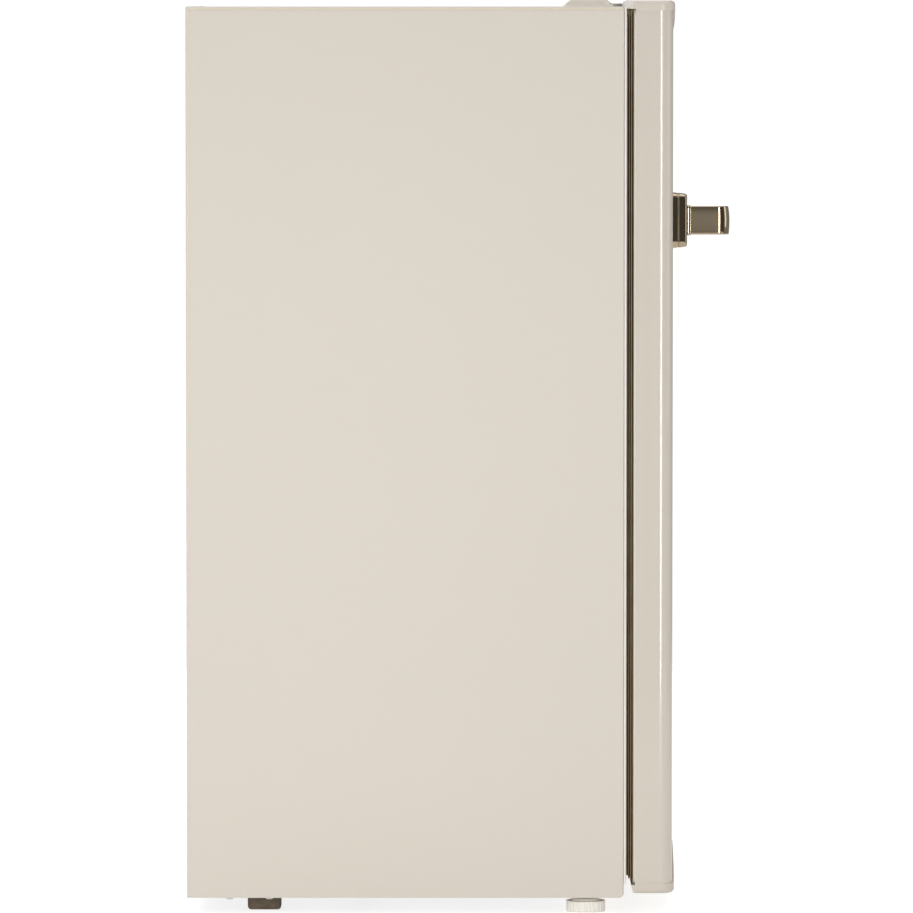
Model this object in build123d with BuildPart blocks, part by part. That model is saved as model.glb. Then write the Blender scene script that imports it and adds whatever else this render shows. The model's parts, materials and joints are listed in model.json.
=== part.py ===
"""Single-door retro mini fridge, built as the separate pieces it comes apart into.

Row frame: +Z up, the door faces -Y, the hinge is on the +X side and the handle on the -X side.
The origin is on the floor, under the centre of the overall box. All sizes are in millimetres.
"""

import math
import os

from build123d import *

os.makedirs("parts", exist_ok=True)

# ---------------------------------------------------------------- driving dimensions
WIDTH = 472.0  # cabinet and door
CABINET_DEPTH = 402.5
SEAL_GAP = 10.5  # from the cabinet's front flange to the back of the door
DOOR_DEPTH = 34.0
HANDLE_REACH = 53.0  # from the door's front to the front of the handle
CABINET_BOTTOM = 15.0
CABINET_TOP = 835.0
DOOR_BOTTOM = 19.0
DOOR_TOP = 841.0
SHEET = 1.0  # every sheet-steel panel
SKIN = 2.0  # every formed plastic liner

DEPTH = CABINET_DEPTH + SEAL_GAP + DOOR_DEPTH + HANDLE_REACH
HALF = WIDTH / 2
REAR = DEPTH / 2
FRONT = REAR - CABINET_DEPTH  # the cabinet's front plane
DOOR_BACK = FRONT - SEAL_GAP
DOOR_FRONT = DOOR_BACK - DOOR_DEPTH
HANDLE_FRONT = DOOR_FRONT - HANDLE_REACH

# cabinet interior
WALL = 40.0
INSIDE_HALF = HALF - WALL
INSIDE_BOTTOM = 60.0
INSIDE_TOP = 790.0
INSIDE_BACK = REAR - 50.0
BAY_FRONT = REAR - 165.0  # the compressor bay, open at the rear
BAY_TOP = 200.0
HUMP_FRONT = BAY_FRONT - 38.0  # the step that the bay makes inside the cabinet
HUMP_TOP = BAY_TOP + 38.0
FLANGE_THICK = 2.5  # the liner's front flange, which the seal lands on
FLANGE_HALF = HALF - 9.0
FLANGE_BOTTOM = 29.0
FLANGE_TOP = 826.0

# door
CROWN = 3.0  # how much the door's front bows out beyond its sides
DOOR_CORNER = 12.5
CAP_BOTTOM_TOP = 28.0  # where the bottom cap ends and the skin starts
CAP_TOP_BOTTOM = 832.0
CAP_PROUD_SIDE = 0.4
CAP_PROUD_FRONT = 1.8
CAP_WALL = 2.5
APRON_HALF = 226.0
APRON_TOP_DROP = 812.0  # the lowest point of the top cap's apron
APRON_BOTTOM_RISE = 57.0
LINER_PLATE = 1.5
DIKE_HALF = 180.0
DIKE_BOTTOM = 72.0
DIKE_TOP = 778.0
DIKE_WIDTH = 26.0
DIKE_BACK = -133.0  # how far the raised rim of the door liner reaches into the cabinet

# hinge
PIN_X = HALF - 12.0
PIN_Y = DOOR_BACK - 12.0
PIN_RADIUS = 4.0
RUNNING = 0.06  # radial clearance of a pin in its bush
BUSH_RADIUS = 6.5
BOSS_RADIUS = 10.0
ARM_HALF = 8.0
DOOR_SWING = 110.0

# things that slide forward stop short of the door liner
SHELF_FRONT = -52.0
SHELF_BACK = INSIDE_BACK - 12.0
SHELF_HALF = INSIDE_HALF - 6.0
SHELF_LEVELS = {"crisper_cover": 358.0, "shelf": 482.0}
GLASS = 4.0
RIB_LEVELS = (358.0, 420.0, 482.0)
DRAWER_Z = (242.0, 345.0)
RIB_REACH = 10.0
RIB_TALL = 8.0
REST_GAP = 0.3

BIN_HALF = 149.0
BIN_BACK = -60.0
BIN_FRONT = DOOR_BACK + LINER_PLATE + 2.5
BIN_WALL = 2.0
BINS = {"bottle_bin": (102.0, 105.0), "middle_bin": (385.0, 65.0), "top_bin": (515.0, 63.0)}
LUG_Y = -148.0

FOOT_X = 209.0
FOOT_Y = -118.0
REAR_FOOT_X = 191.0
REAR_FOOT_Y = 179.5

HANDLE_X = -200.0
HANDLE_Z = 638.0

FREEZER_HALF = 172.0
FREEZER_FRONT = -12.0
FREEZER_BOTTOM = 652.0
FREEZER_TOP = 752.0
FLAP_AXIS_Y = -29.5
FLAP_AXIS_Z = 752.0
FLAP_THICK = 9.0
FLAP_REACH = 101.0

COMPRESSOR_X = 30.0
COMPRESSOR_Y = 160.0


def save(piece, name):
    """Labels a finished piece and writes it as parts/NAME.step."""
    piece.label = name
    export_step(piece, f"parts/{name}.step")


def block(x0, x1, y0, y1, z0, z1):
    """A plain box between two corners, made outside any builder."""
    with BuildPart() as made:
        with Locations(((x0 + x1) / 2, (y0 + y1) / 2, (z0 + z1) / 2)):
            Box(x1 - x0, y1 - y0, z1 - z0)
    return made.part


def rounded_block(half_x, z0, z1, y0, y1, radius):
    """A box centred on X, with its edges along Y rounded, as a formed liner has."""
    with BuildPart() as made:
        with BuildSketch(Plane.XZ.offset(-y1)):
            with Locations((0, (z0 + z1) / 2)):
                RectangleRounded(2 * half_x, z1 - z0, radius)
        extrude(amount=y1 - y0)
    return made.part


def rod(radius, start, direction, length):
    """A round bar from a point along an axis."""
    with BuildPart() as made:
        with BuildSketch(Plane(origin=start, z_dir=direction)):
            Circle(radius)
        extrude(amount=length)
    return made.part


def door_slab(side_grow, front_grow, z0, z1, back=DOOR_BACK):
    """The door's outline in plan, bowed at the front, as a slab between two heights."""
    half = HALF + side_grow
    front = DOOR_FRONT - front_grow
    with BuildPart() as made:
        with BuildSketch(Plane.XY.offset(z0)) as plan:
            with BuildLine():
                Polyline((half, front), (half, back), (-half, back), (-half, front))
                ThreePointArc((-half, front), (0, front - CROWN), (half, front))
            make_face()
            fillet(plan.vertices().group_by(Axis.Y)[0], DOOR_CORNER + side_grow)
        extrude(amount=z1 - z0)
    return made.part


# ================================================================ cabinet
# outer_shell: one sheet folded into the two sides and the top, with return flanges
FRONT_RETURN = 20.0
REAR_RETURN = 14.0
BOTTOM_RETURN = 16.0
SHELL_CORNER = 4.0
CORNER_NOTCH = 2.5
LOW_CORNER = 4.2

base_screw_spots = [(side * 228.0, y) for side in (-1, 1) for y in (174.3, 210.7)]

with BuildPart() as outer_shell:
    with BuildSketch(Plane.XZ.offset(-REAR)) as wrap:
        with Locations((0, (CABINET_BOTTOM + CABINET_TOP) / 2)):
            Rectangle(WIDTH, CABINET_TOP - CABINET_BOTTOM)
        fillet(wrap.vertices().group_by(Axis.Y)[-1], SHELL_CORNER)
    extrude(amount=CABINET_DEPTH)
    shell_edges = outer_shell.edges().filter_by(Axis.Z)
    fillet(shell_edges.group_by(Axis.Y)[0], 1.6)
    fillet(outer_shell.edges().filter_by(Axis.Z).group_by(Axis.Y)[-1], 2.0)
    # hollow it, leaving the return flanges at the front, the rear and the bottom
    add(
        block(
            -HALF + SHEET, HALF - SHEET, FRONT + SHEET, REAR - SHEET,
            CABINET_BOTTOM + SHEET, CABINET_TOP - SHEET,
        ),
        mode=Mode.SUBTRACT,
    )
    add(
        block(
            -HALF + FRONT_RETURN, HALF - FRONT_RETURN, FRONT - 1, FRONT + 2,
            CABINET_BOTTOM - 1, CABINET_TOP - FRONT_RETURN,
        ),
        mode=Mode.SUBTRACT,
    )
    add(
        block(
            -HALF + REAR_RETURN, HALF - REAR_RETURN, REAR - 2, REAR + 1,
            CABINET_BOTTOM - 1, CABINET_TOP - REAR_RETURN,
        ),
        mode=Mode.SUBTRACT,
    )
    add(
        block(
            -HALF + BOTTOM_RETURN, HALF - BOTTOM_RETURN, FRONT - 1, REAR + 1,
            CABINET_BOTTOM - 1, CABINET_BOTTOM + 2,
        ),
        mode=Mode.SUBTRACT,
    )
    # the relief notch where three folds meet at each top rear corner
    for side in (-1, 1):
        with Locations((side * HALF, REAR, CABINET_TOP)):
            Box(3 * CORNER_NOTCH, 2 * CORNER_NOTCH, 2 * CORNER_NOTCH, mode=Mode.SUBTRACT)
    with Locations(*[(x, y, CABINET_BOTTOM) for x, y in base_screw_spots]):
        Cylinder(2.1, 6, mode=Mode.SUBTRACT)
    # the lower front corners are cut across
    with BuildSketch(Plane.YZ.offset(-HALF)):
        with Locations((FRONT, CABINET_BOTTOM)):
            Rectangle(LOW_CORNER, LOW_CORNER, rotation=45)
    extrude(amount=WIDTH, mode=Mode.SUBTRACT)
save(outer_shell.part, "outer_shell")

# back_panel: sits behind the shell's rear return and closes the insulation
with BuildPart() as back_panel:
    with BuildSketch(Plane.XZ.offset(-(REAR - SHEET))):
        with Locations((0, (BAY_TOP + CABINET_TOP - SHEET) / 2)):
            Rectangle(WIDTH - 2 * SHEET - 0.4, CABINET_TOP - SHEET - BAY_TOP - 0.4)
    extrude(amount=SHEET)
    # two shallow stiffening beads across the panel
    for z in (380.0, 640.0):
        with Locations((0, REAR - SHEET, z)):
            Box(WIDTH - 90, 0.9, 14, mode=Mode.SUBTRACT)
save(back_panel.part, "back_panel")

back_screw_spots = [(x, z) for x in (-190.0, 0.0, 190.0) for z in (BAY_TOP + 14.0, CABINET_TOP - 26.0)]
with BuildPart() as back_panel_screws:
    with BuildSketch(Plane.XZ.offset(-REAR)):
        with Locations(*back_screw_spots):
            Circle(4.0)
    extrude(amount=SHEET)
save(back_panel_screws.part, "back_panel_screws")

# base_pan: the stepped floor of the cabinet, which is also the roof of the compressor bay
PAN_HALF = HALF - SHEET - 0.2
FLOOR = CABINET_BOTTOM + SHEET
with BuildPart() as base_pan:
    with BuildSketch(Plane.YZ.offset(-PAN_HALF)):
        with BuildLine():
            Polyline(
                (FRONT + SHEET + 0.2, FLOOR), (BAY_FRONT, FLOOR), (BAY_FRONT, BAY_TOP - SHEET),
                (REAR - 2 * SHEET - 0.2, BAY_TOP - SHEET), (REAR - 2 * SHEET - 0.2, BAY_TOP),
                (BAY_FRONT - SHEET, BAY_TOP), (BAY_FRONT - SHEET, FLOOR + SHEET),
                (FRONT + SHEET + 0.2, FLOOR + SHEET), close=True,
            )
        make_face()
    extrude(amount=2 * PAN_HALF)
    with Locations((-FOOT_X, FOOT_Y, FLOOR), (FOOT_X, FOOT_Y, FLOOR)):
        Cylinder(4.6, 6, mode=Mode.SUBTRACT)
save(base_pan.part, "base_pan")

# front_rail: the cross-member under the door opening
RAIL_HALF = HALF - FRONT_RETURN - 0.2
RAIL_DEEP = 57.0
HINGE_SCREWS = [(192.0, -144.0), (209.0, -144.0)]
with BuildPart() as front_rail:
    with BuildSketch(Plane.YZ.offset(-RAIL_HALF)):
        with BuildLine():
            Polyline(
                (FRONT, CABINET_BOTTOM), (FRONT + RAIL_DEEP, CABINET_BOTTOM), (FRONT + RAIL_DEEP, FLOOR),
                (FRONT + SHEET, FLOOR), (FRONT + SHEET, INSIDE_BOTTOM - SKIN - 1), (FRONT, INSIDE_BOTTOM - SKIN - 1),
                close=True,
            )
        make_face()
    extrude(amount=2 * RAIL_HALF)
    with Locations((-FOOT_X, FOOT_Y, CABINET_BOTTOM), (FOOT_X, FOOT_Y, CABINET_BOTTOM)):
        Cylinder(4.6, 6, mode=Mode.SUBTRACT)
    with Locations(*[(x, y, CABINET_BOTTOM) for x, y in HINGE_SCREWS]):
        Cylinder(2.6, 6, mode=Mode.SUBTRACT)
save(front_rail.part, "front_rail")

# the liner's outer and inner forms, shared by the liner and the foam round it
NUT_RADIUS = 8.0
NUT_TOP = 48.0


def cavity(grow, front):
    """The cabinet's inside, grown outwards by a wall thickness, with the step over the bay."""
    room = rounded_block(
        INSIDE_HALF + grow, INSIDE_BOTTOM - grow, INSIDE_TOP + grow, front, INSIDE_BACK + grow, 14 + grow
    )
    step = block(-HALF, HALF, HUMP_FRONT + grow, REAR, 0, HUMP_TOP - grow)
    with BuildPart() as made:
        add(room)
        fillet(made.faces().sort_by(Axis.Y)[-1].edges(), 12 + grow)
        add(step, mode=Mode.SUBTRACT)
    return made.part


liner_outside = cavity(SKIN, FRONT - FLANGE_THICK)
liner_inside = cavity(0, FRONT - FLANGE_THICK - 1)

# condenser_coil: the hot-gas tube bonded inside each side wall, buried in the foam
COIL_RADIUS = 2.4
COIL_ROOM = 0.15
COIL_X = HALF - SHEET - COIL_RADIUS - 2 * COIL_ROOM
coil_turns = []
for i in range(5):
    y = -110 + 75 * i
    coil_turns += [(y, 760.0), (y, 250.0)] if i % 2 == 0 else [(y, 250.0), (y, 760.0)]


def coil(radius):
    """Both side coils, as a tube of one radius."""
    with BuildPart() as made:
        for side in (-1, 1):
            route = [(side * COIL_X, y, z) for y, z in coil_turns]
            with BuildLine() as line:
                FilletPolyline(*route, radius=30)
            with BuildSketch(Plane(origin=route[0], z_dir=(0, 0, -1))):
                Circle(radius)
            sweep(path=line.line)
    return made.part


save(coil(COIL_RADIUS), "condenser_coil")

foam_cut = [
    coil(COIL_RADIUS + COIL_ROOM),
    block(-HALF, HALF, BAY_FRONT - SHEET, REAR, 0, BAY_TOP),
    rod(NUT_RADIUS, (-FOOT_X, FOOT_Y, FLOOR), (0, 0, 1), NUT_TOP - FLOOR),
    rod(NUT_RADIUS, (FOOT_X, FOOT_Y, FLOOR), (0, 0, 1), NUT_TOP - FLOOR),
]
with BuildPart() as cabinet_foam:
    add(
        block(
            -HALF + SHEET, HALF - SHEET, FRONT + SHEET, REAR - 2 * SHEET,
            FLOOR + SHEET, CABINET_TOP - SHEET,
        )
    )
    add(liner_outside, mode=Mode.SUBTRACT)
    for piece in foam_cut:
        add(piece, mode=Mode.SUBTRACT)
save(cabinet_foam.part, "cabinet_foam")

# inner_liner: one formed plastic tub with its front flange
with BuildPart() as inner_liner:
    add(liner_outside)
    add(rounded_block(FLANGE_HALF, FLANGE_BOTTOM, FLANGE_TOP, FRONT - FLANGE_THICK, FRONT, 8))
    add(liner_inside, mode=Mode.SUBTRACT)
save(inner_liner.part, "inner_liner")

# shelf_runners: the rails along the side walls that the shelves, drawer and drip tray slide on
RIB_BACK = SHELF_BACK - 6
RIB_FRONT = -48.0
TRAY_RAIL = 12.0
DRAWER_RAIL = 18.0
TRAY_Z = (604.0, 628.0)
rails = [(RIB_REACH, RIB_FRONT, RIB_BACK, level - REST_GAP - RIB_TALL, level - REST_GAP) for level in RIB_LEVELS]
rails += [
    (TRAY_RAIL, -26.0, RIB_BACK, TRAY_Z[0] - REST_GAP - RIB_TALL, TRAY_Z[0] - REST_GAP),
    (DRAWER_RAIL, RIB_FRONT, HUMP_FRONT, 230.0, DRAWER_Z[0] - REST_GAP),
    (DRAWER_RAIL, HUMP_FRONT + 2, HUMP_FRONT + 60, HUMP_TOP, DRAWER_Z[0] - REST_GAP),
]
with BuildPart() as shelf_runners:
    for side in (-1, 1):
        for reach, y0, y1, z0, z1 in rails:
            low, high = sorted((side * INSIDE_HALF, side * (INSIDE_HALF - reach)))
            add(block(low, high, y0, y1, z0, z1))
save(shelf_runners.part, "shelf_runners")

# base_screws: hold the compressor tray to the bottom return of the side panels
with BuildPart() as base_screws:
    with BuildSketch(Plane.XY.offset(CABINET_BOTTOM)):
        with Locations(*base_screw_spots):
            Circle(3.75)
    extrude(amount=-2.3)
    fillet(base_screws.edges().group_by(Axis.Z)[0], 1.4)
    with BuildSketch(Plane.XY.offset(CABINET_BOTTOM)):
        with Locations(*base_screw_spots):
            Circle(1.9)
    extrude(amount=5)
save(base_screws.part, "base_screws")


# ================================================================ feet
# rear_feet: fixed rubber feet under the compressor tray
with BuildPart() as rear_feet:
    with Locations((-REAR_FOOT_X, REAR_FOOT_Y, FLOOR / 2), (REAR_FOOT_X, REAR_FOOT_Y, FLOOR / 2)):
        Box(22, 31, FLOOR)
    fillet(rear_feet.edges().group_by(Axis.Z)[0], 3.5)
    fillet(rear_feet.edges().filter_by(Axis.Z), 3)
save(rear_feet.part, "rear_feet")

FOOT_RADIUS = 18.0
FOOT_TALL = 10.0
FOOT_GROOVES = 24


def leveling_foot(side):
    """A knurled plastic foot moulded on a threaded stud."""
    with BuildPart() as foot:
        with BuildSketch() as disc:
            Circle(FOOT_RADIUS)
            with PolarLocations(FOOT_RADIUS + 0.4, FOOT_GROOVES):
                Circle(1.3, mode=Mode.SUBTRACT)
        extrude(amount=FOOT_TALL)
        with BuildSketch(Plane.XY.offset(FOOT_TALL)):
            Circle(13)
        extrude(amount=2.5, taper=20)
        with BuildSketch(Plane.XY.offset(FOOT_TALL)):
            Circle(PIN_RADIUS)
        extrude(amount=30)
        chamfer(foot.edges().group_by(Axis.Z)[-1], 0.8)
    return foot.part.moved(Location((side * FOOT_X, FOOT_Y, 0)))


save(leveling_foot(-1), "leveling_foot_left")
save(leveling_foot(1), "leveling_foot_right")

# foot_nuts: threaded sleeves in the cabinet floor that the studs run in
with BuildPart() as foot_nuts:
    with BuildSketch(Plane.XY.offset(FLOOR + SHEET)):
        with Locations((-FOOT_X, FOOT_Y), (FOOT_X, FOOT_Y)):
            Circle(NUT_RADIUS)
            Circle(PIN_RADIUS + RUNNING, mode=Mode.SUBTRACT)
    extrude(amount=NUT_TOP - FLOOR - SHEET)
save(foot_nuts.part, "foot_nuts")

# ================================================================ hinges
TOP_PLATE = 3.0
TOP_SCREWS = [(184.0, -126.0), (204.0, -138.0), (204.0, -114.0)]
with BuildPart() as top_hinge_plate:
    with BuildSketch(Plane.XY.offset(CABINET_TOP)):
        with Locations((200, -126)):
            RectangleRounded(50, 40, 4)
        with Locations((PIN_X, (PIN_Y - 140.5) / 2)):
            Rectangle(2 * ARM_HALF, abs(PIN_Y + 140.5))
        with Locations((PIN_X, PIN_Y)):
            Circle(ARM_HALF)
        with Locations(*TOP_SCREWS):
            Circle(2.2, mode=Mode.SUBTRACT)
        with Locations((PIN_X, PIN_Y)):
            Circle(PIN_RADIUS, mode=Mode.SUBTRACT)
    extrude(amount=TOP_PLATE)
save(top_hinge_plate.part, "top_hinge_plate")

PIN_REACH = 13.0
with BuildPart() as top_hinge_pin:
    with BuildSketch(Plane.XY.offset(CABINET_TOP + TOP_PLATE + 1.2)):
        with Locations((PIN_X, PIN_Y)):
            Circle(PIN_RADIUS - 0.02)
    extrude(amount=-(TOP_PLATE + 1.2 + PIN_REACH))
    chamfer(top_hinge_pin.edges().group_by(Axis.Z)[0], 0.8)
save(top_hinge_pin.part, "top_hinge_pin")

with BuildPart() as top_hinge_screws:
    with BuildSketch(Plane.XY.offset(CABINET_TOP + TOP_PLATE)):
        with Locations(*TOP_SCREWS):
            Circle(4)
    extrude(amount=1.8)
    with BuildSketch(Plane.XY.offset(CABINET_TOP)):
        with Locations(*TOP_SCREWS):
            Circle(2)
    extrude(amount=TOP_PLATE)
save(top_hinge_screws.part, "top_hinge_screws")

# top_hinge_cover: a low plastic cover with sloping sides
COVER_X = (170.0, 232.5)
COVER_Y = (-151.5, -101.5)
COVER_TALL = 6.5
COVER_SLOPE = 7.0
with BuildPart() as top_hinge_cover:
    cover_middle = ((COVER_X[0] + COVER_X[1]) / 2, (COVER_Y[0] + COVER_Y[1]) / 2)
    cover_size = (COVER_X[1] - COVER_X[0], COVER_Y[1] - COVER_Y[0])
    with BuildSketch(Plane.XY.offset(CABINET_TOP)):
        with Locations(cover_middle):
            RectangleRounded(*cover_size, 4)
    with BuildSketch(Plane.XY.offset(CABINET_TOP + COVER_TALL)):
        with Locations(cover_middle):
            RectangleRounded(cover_size[0] - 2 * COVER_SLOPE, cover_size[1] - 2 * COVER_SLOPE, 3)
    loft()
    # hollow underneath for the plate, its arm and the screw heads
    add(block(173.5, 228.5, -147.5, -105, CABINET_TOP, CABINET_TOP + TOP_PLATE + 0.4), mode=Mode.SUBTRACT)
    add(block(178, 224, -143, -110, CABINET_TOP, CABINET_TOP + 5.3), mode=Mode.SUBTRACT)
    add(
        block(PIN_X - ARM_HALF - 0.5, PIN_X + ARM_HALF + 0.2, COVER_Y[0] - 1, -140, CABINET_TOP, CABINET_TOP + TOP_PLATE + 0.4),
        mode=Mode.SUBTRACT,
    )
save(top_hinge_cover.part, "top_hinge_cover")

LOW_PLATE = (12.0, 15.0)
with BuildPart() as bottom_hinge_plate:
    with BuildSketch(Plane.XY.offset(LOW_PLATE[0])):
        with Locations((201, -144)):
            RectangleRounded(48, 14, 3)
        with Locations((PIN_X - 2, (PIN_Y - 137) / 2)):
            Rectangle(2 * ARM_HALF + 4, abs(PIN_Y + 137))
        with Locations((PIN_X, PIN_Y)):
            Circle(ARM_HALF + 2)
        with Locations(*HINGE_SCREWS):
            Circle(2.6, mode=Mode.SUBTRACT)
        with Locations((PIN_X, PIN_Y)):
            Circle(PIN_RADIUS, mode=Mode.SUBTRACT)
    extrude(amount=LOW_PLATE[1] - LOW_PLATE[0])
save(bottom_hinge_plate.part, "bottom_hinge_plate")

with BuildPart() as bottom_hinge_pin:
    with BuildSketch(Plane.XY.offset(LOW_PLATE[0] - 1.5)):
        with Locations((PIN_X, PIN_Y)):
            Circle(6)
    extrude(amount=1.5)
    with BuildSketch(Plane.XY.offset(LOW_PLATE[0])):
        with Locations((PIN_X, PIN_Y)):
            Circle(PIN_RADIUS - 0.02)
    extrude(amount=22)
    chamfer(bottom_hinge_pin.edges().group_by(Axis.Z)[-1], 0.8)
save(bottom_hinge_pin.part, "bottom_hinge_pin")

with BuildPart() as bottom_hinge_screws:
    with BuildSketch(Plane.XY.offset(LOW_PLATE[0])):
        with Locations(*HINGE_SCREWS):
            Circle(4.5)
    extrude(amount=-2)
    with BuildSketch(Plane.XY.offset(LOW_PLATE[0])):
        with Locations(*HINGE_SCREWS):
            Circle(2.4)
    extrude(amount=LOW_PLATE[1] - LOW_PLATE[0] + SHEET)
save(bottom_hinge_screws.part, "bottom_hinge_screws")

with BuildPart() as hinge_washer:
    with BuildSketch(Plane.XY.offset(LOW_PLATE[1])):
        with Locations((PIN_X, PIN_Y)):
            Circle(8)
            Circle(PIN_RADIUS + 0.1, mode=Mode.SUBTRACT)
    extrude(amount=DOOR_BOTTOM - LOW_PLATE[1] - 0.2)
save(hinge_washer.part, "hinge_washer")

# ================================================================ door
skin_outside = door_slab(0, 0, CAP_BOTTOM_TOP, CAP_TOP_BOTTOM)
skin_inside = door_slab(-SHEET, -SHEET, CAP_BOTTOM_TOP - 1, CAP_TOP_BOTTOM + 1, DOOR_BACK - SHEET)
door_envelope = door_slab(0, 0, DOOR_BOTTOM, DOOR_TOP)
HANDLE_SCREW_Z = (HANDLE_Z - 14.0, HANDLE_Z + 14.0)
HANDLE_SCREW_SEAT = 195.9
SKIN_RETURN = 14.0

with BuildPart() as door_skin:
    add(skin_outside)
    add(skin_inside, mode=Mode.SUBTRACT)
    add(
        block(-HALF + SKIN_RETURN, HALF - SKIN_RETURN, DOOR_BACK - 2, DOOR_BACK + 1, 0, 900),
        mode=Mode.SUBTRACT,
    )
    for z in HANDLE_SCREW_Z:
        add(rod(2.6, (HANDLE_X, DOOR_FRONT - 3, z), (0, 1, 0), 12), mode=Mode.SUBTRACT)
save(door_skin.part, "door_skin")

# the slot in the top cap that the hinge arm sweeps through as the door opens
POCKET_FLOOR = CABINET_TOP - 0.5
far = 60.0
sweep_end = math.radians(90 - DOOR_SWING)
with BuildPart() as hinge_pocket:
    with BuildSketch(Plane.XY.offset(POCKET_FLOOR)) as pocket:
        with BuildLine():
            Polyline(
                (PIN_X, PIN_Y), (PIN_X + far * math.cos(sweep_end), PIN_Y + far * math.sin(sweep_end)),
                (PIN_X + far, PIN_Y + far), (PIN_X, PIN_Y + far), close=True,
            )
        make_face()
        offset(amount=ARM_HALF + 0.7)
    extrude(amount=20)


def cap_rim(outer_z, inner_z, outer_reach, inner_reach):
    """The raked rim of a cap, which stands behind the door skin and hides the seal's edge."""
    with BuildPart() as made:
        with BuildSketch(Plane.YZ.offset(-HALF - CAP_PROUD_SIDE)):
            with BuildLine():
                Polyline(
                    (DOOR_BACK - 1, outer_z), (DOOR_BACK + outer_reach, outer_z), (DOOR_BACK + inner_reach, inner_z),
                    (DOOR_BACK - 1, inner_z), close=True,
                )
            make_face()
        extrude(amount=2 * (HALF + CAP_PROUD_SIDE))
    return made.part


def apron_cut(low, high, spring, crest):
    """What is taken off a cap's front so that its apron ends in a shallow arc."""
    with BuildPart() as made:
        with BuildSketch(Plane.XZ.offset(-(DOOR_BACK + 2))):
            with BuildLine():
                ThreePointArc((-APRON_HALF, spring), (0, crest), (APRON_HALF, spring))
                Polyline(
                    (APRON_HALF, spring), (HALF + 5, spring), (HALF + 5, low if low != spring else high),
                    (-HALF - 5, low if low != spring else high), (-HALF - 5, spring), (-APRON_HALF, spring),
                )
            make_face()
        extrude(amount=60)
    return made.part


RIM_INNER = (DOOR_BOTTOM + 7.8, DOOR_TOP - 7.8)
top_apron_cut = apron_cut(APRON_TOP_DROP - 2, CAP_TOP_BOTTOM, CAP_TOP_BOTTOM, APRON_TOP_DROP)
bottom_apron_cut = apron_cut(CAP_BOTTOM_TOP, APRON_BOTTOM_RISE + 2, CAP_BOTTOM_TOP, APRON_BOTTOM_RISE)
top_cap_outside = door_slab(CAP_PROUD_SIDE, CAP_PROUD_FRONT, APRON_TOP_DROP - 1, DOOR_TOP)
bottom_cap_outside = door_slab(CAP_PROUD_SIDE, CAP_PROUD_FRONT, DOOR_BOTTOM, APRON_BOTTOM_RISE + 1)
top_core = door_slab(-CAP_WALL, -CAP_WALL, CAP_TOP_BOTTOM, DOOR_TOP - CAP_WALL, DOOR_BACK - CAP_WALL)
bottom_core = door_slab(-CAP_WALL, -CAP_WALL, DOOR_BOTTOM + CAP_WALL, CAP_BOTTOM_TOP, DOOR_BACK - CAP_WALL)
pocket_skirt = rod(ARM_HALF + 3.5, (PIN_X, PIN_Y, CAP_TOP_BOTTOM), (0, 0, 1), DOOR_TOP - CAP_WALL - CAP_TOP_BOTTOM)
pocket_floor = block(PIN_X - 13, HALF - 1, PIN_Y - 16, DOOR_BACK, CAP_TOP_BOTTOM, DOOR_TOP - CAP_WALL)
top_boss = rod(BOSS_RADIUS, (PIN_X, PIN_Y, 820), (0, 0, 1), CAP_TOP_BOTTOM - 820)
bottom_boss = rod(BOSS_RADIUS, (PIN_X, PIN_Y, CAP_BOTTOM_TOP), (0, 0, 1), 7)
top_bore = rod(BUSH_RADIUS, (PIN_X, PIN_Y, 810), (0, 0, 1), 40)
bottom_bore = rod(BUSH_RADIUS, (PIN_X, PIN_Y, 10), (0, 0, 1), 40)

with BuildPart() as door_top_cap:
    add(top_cap_outside)
    fillet(door_top_cap.edges().group_by(Axis.Z)[-1].sort_by(Axis.Y)[:-1], 4)
    add(cap_rim(DOOR_TOP - 0.6, RIM_INNER[1], 2.3, 4.4))
    add(skin_outside, mode=Mode.SUBTRACT)
    add(top_apron_cut, mode=Mode.SUBTRACT)
    add(top_core, mode=Mode.SUBTRACT)
    add(pocket_floor & top_core)
    add(top_boss)
    add(hinge_pocket.part, mode=Mode.SUBTRACT)
    add(top_bore, mode=Mode.SUBTRACT)
save(door_top_cap.part, "door_top_cap")

with BuildPart() as door_bottom_cap:
    add(bottom_cap_outside)
    fillet(door_bottom_cap.edges().group_by(Axis.Z)[0].sort_by(Axis.Y)[:-1], 4)
    add(cap_rim(DOOR_BOTTOM + 0.6, RIM_INNER[0], 2.0, 3.6))
    add(skin_outside, mode=Mode.SUBTRACT)
    add(bottom_apron_cut, mode=Mode.SUBTRACT)
    add(bottom_core, mode=Mode.SUBTRACT)
    add(block(PIN_X - 13, HALF - 1, PIN_Y - 13, DOOR_BACK - 1, DOOR_BOTTOM + 1, CAP_BOTTOM_TOP) & bottom_core)
    add(bottom_boss)
    add(bottom_bore, mode=Mode.SUBTRACT)
save(door_bottom_cap.part, "door_bottom_cap")

with BuildPart() as hinge_bushes:
    for low, high in ((821.0, POCKET_FLOOR), (DOOR_BOTTOM, 34.5)):
        with BuildSketch(Plane.XY.offset(low)):
            with Locations((PIN_X, PIN_Y)):
                Circle(BUSH_RADIUS)
                Circle(PIN_RADIUS + RUNNING, mode=Mode.SUBTRACT)
        extrude(amount=high - low)
save(hinge_bushes.part, "hinge_bushes")


# door_liner: the formed inner panel, whose raised rim reaches into the cabinet
def dike(inset, y0, y1):
    """The raised rim, as a rounded rectangular ring between two depths."""
    outer = rounded_block(DIKE_HALF - inset, DIKE_BOTTOM + inset, DIKE_TOP - inset, y0, y1, 16 - inset)
    hole = DIKE_WIDTH - inset
    inner = rounded_block(DIKE_HALF - hole, DIKE_BOTTOM + hole, DIKE_TOP - hole, y0, y1, 8)
    with BuildPart() as made:
        add(outer)
        add(inner, mode=Mode.SUBTRACT)
    return made.part


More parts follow.
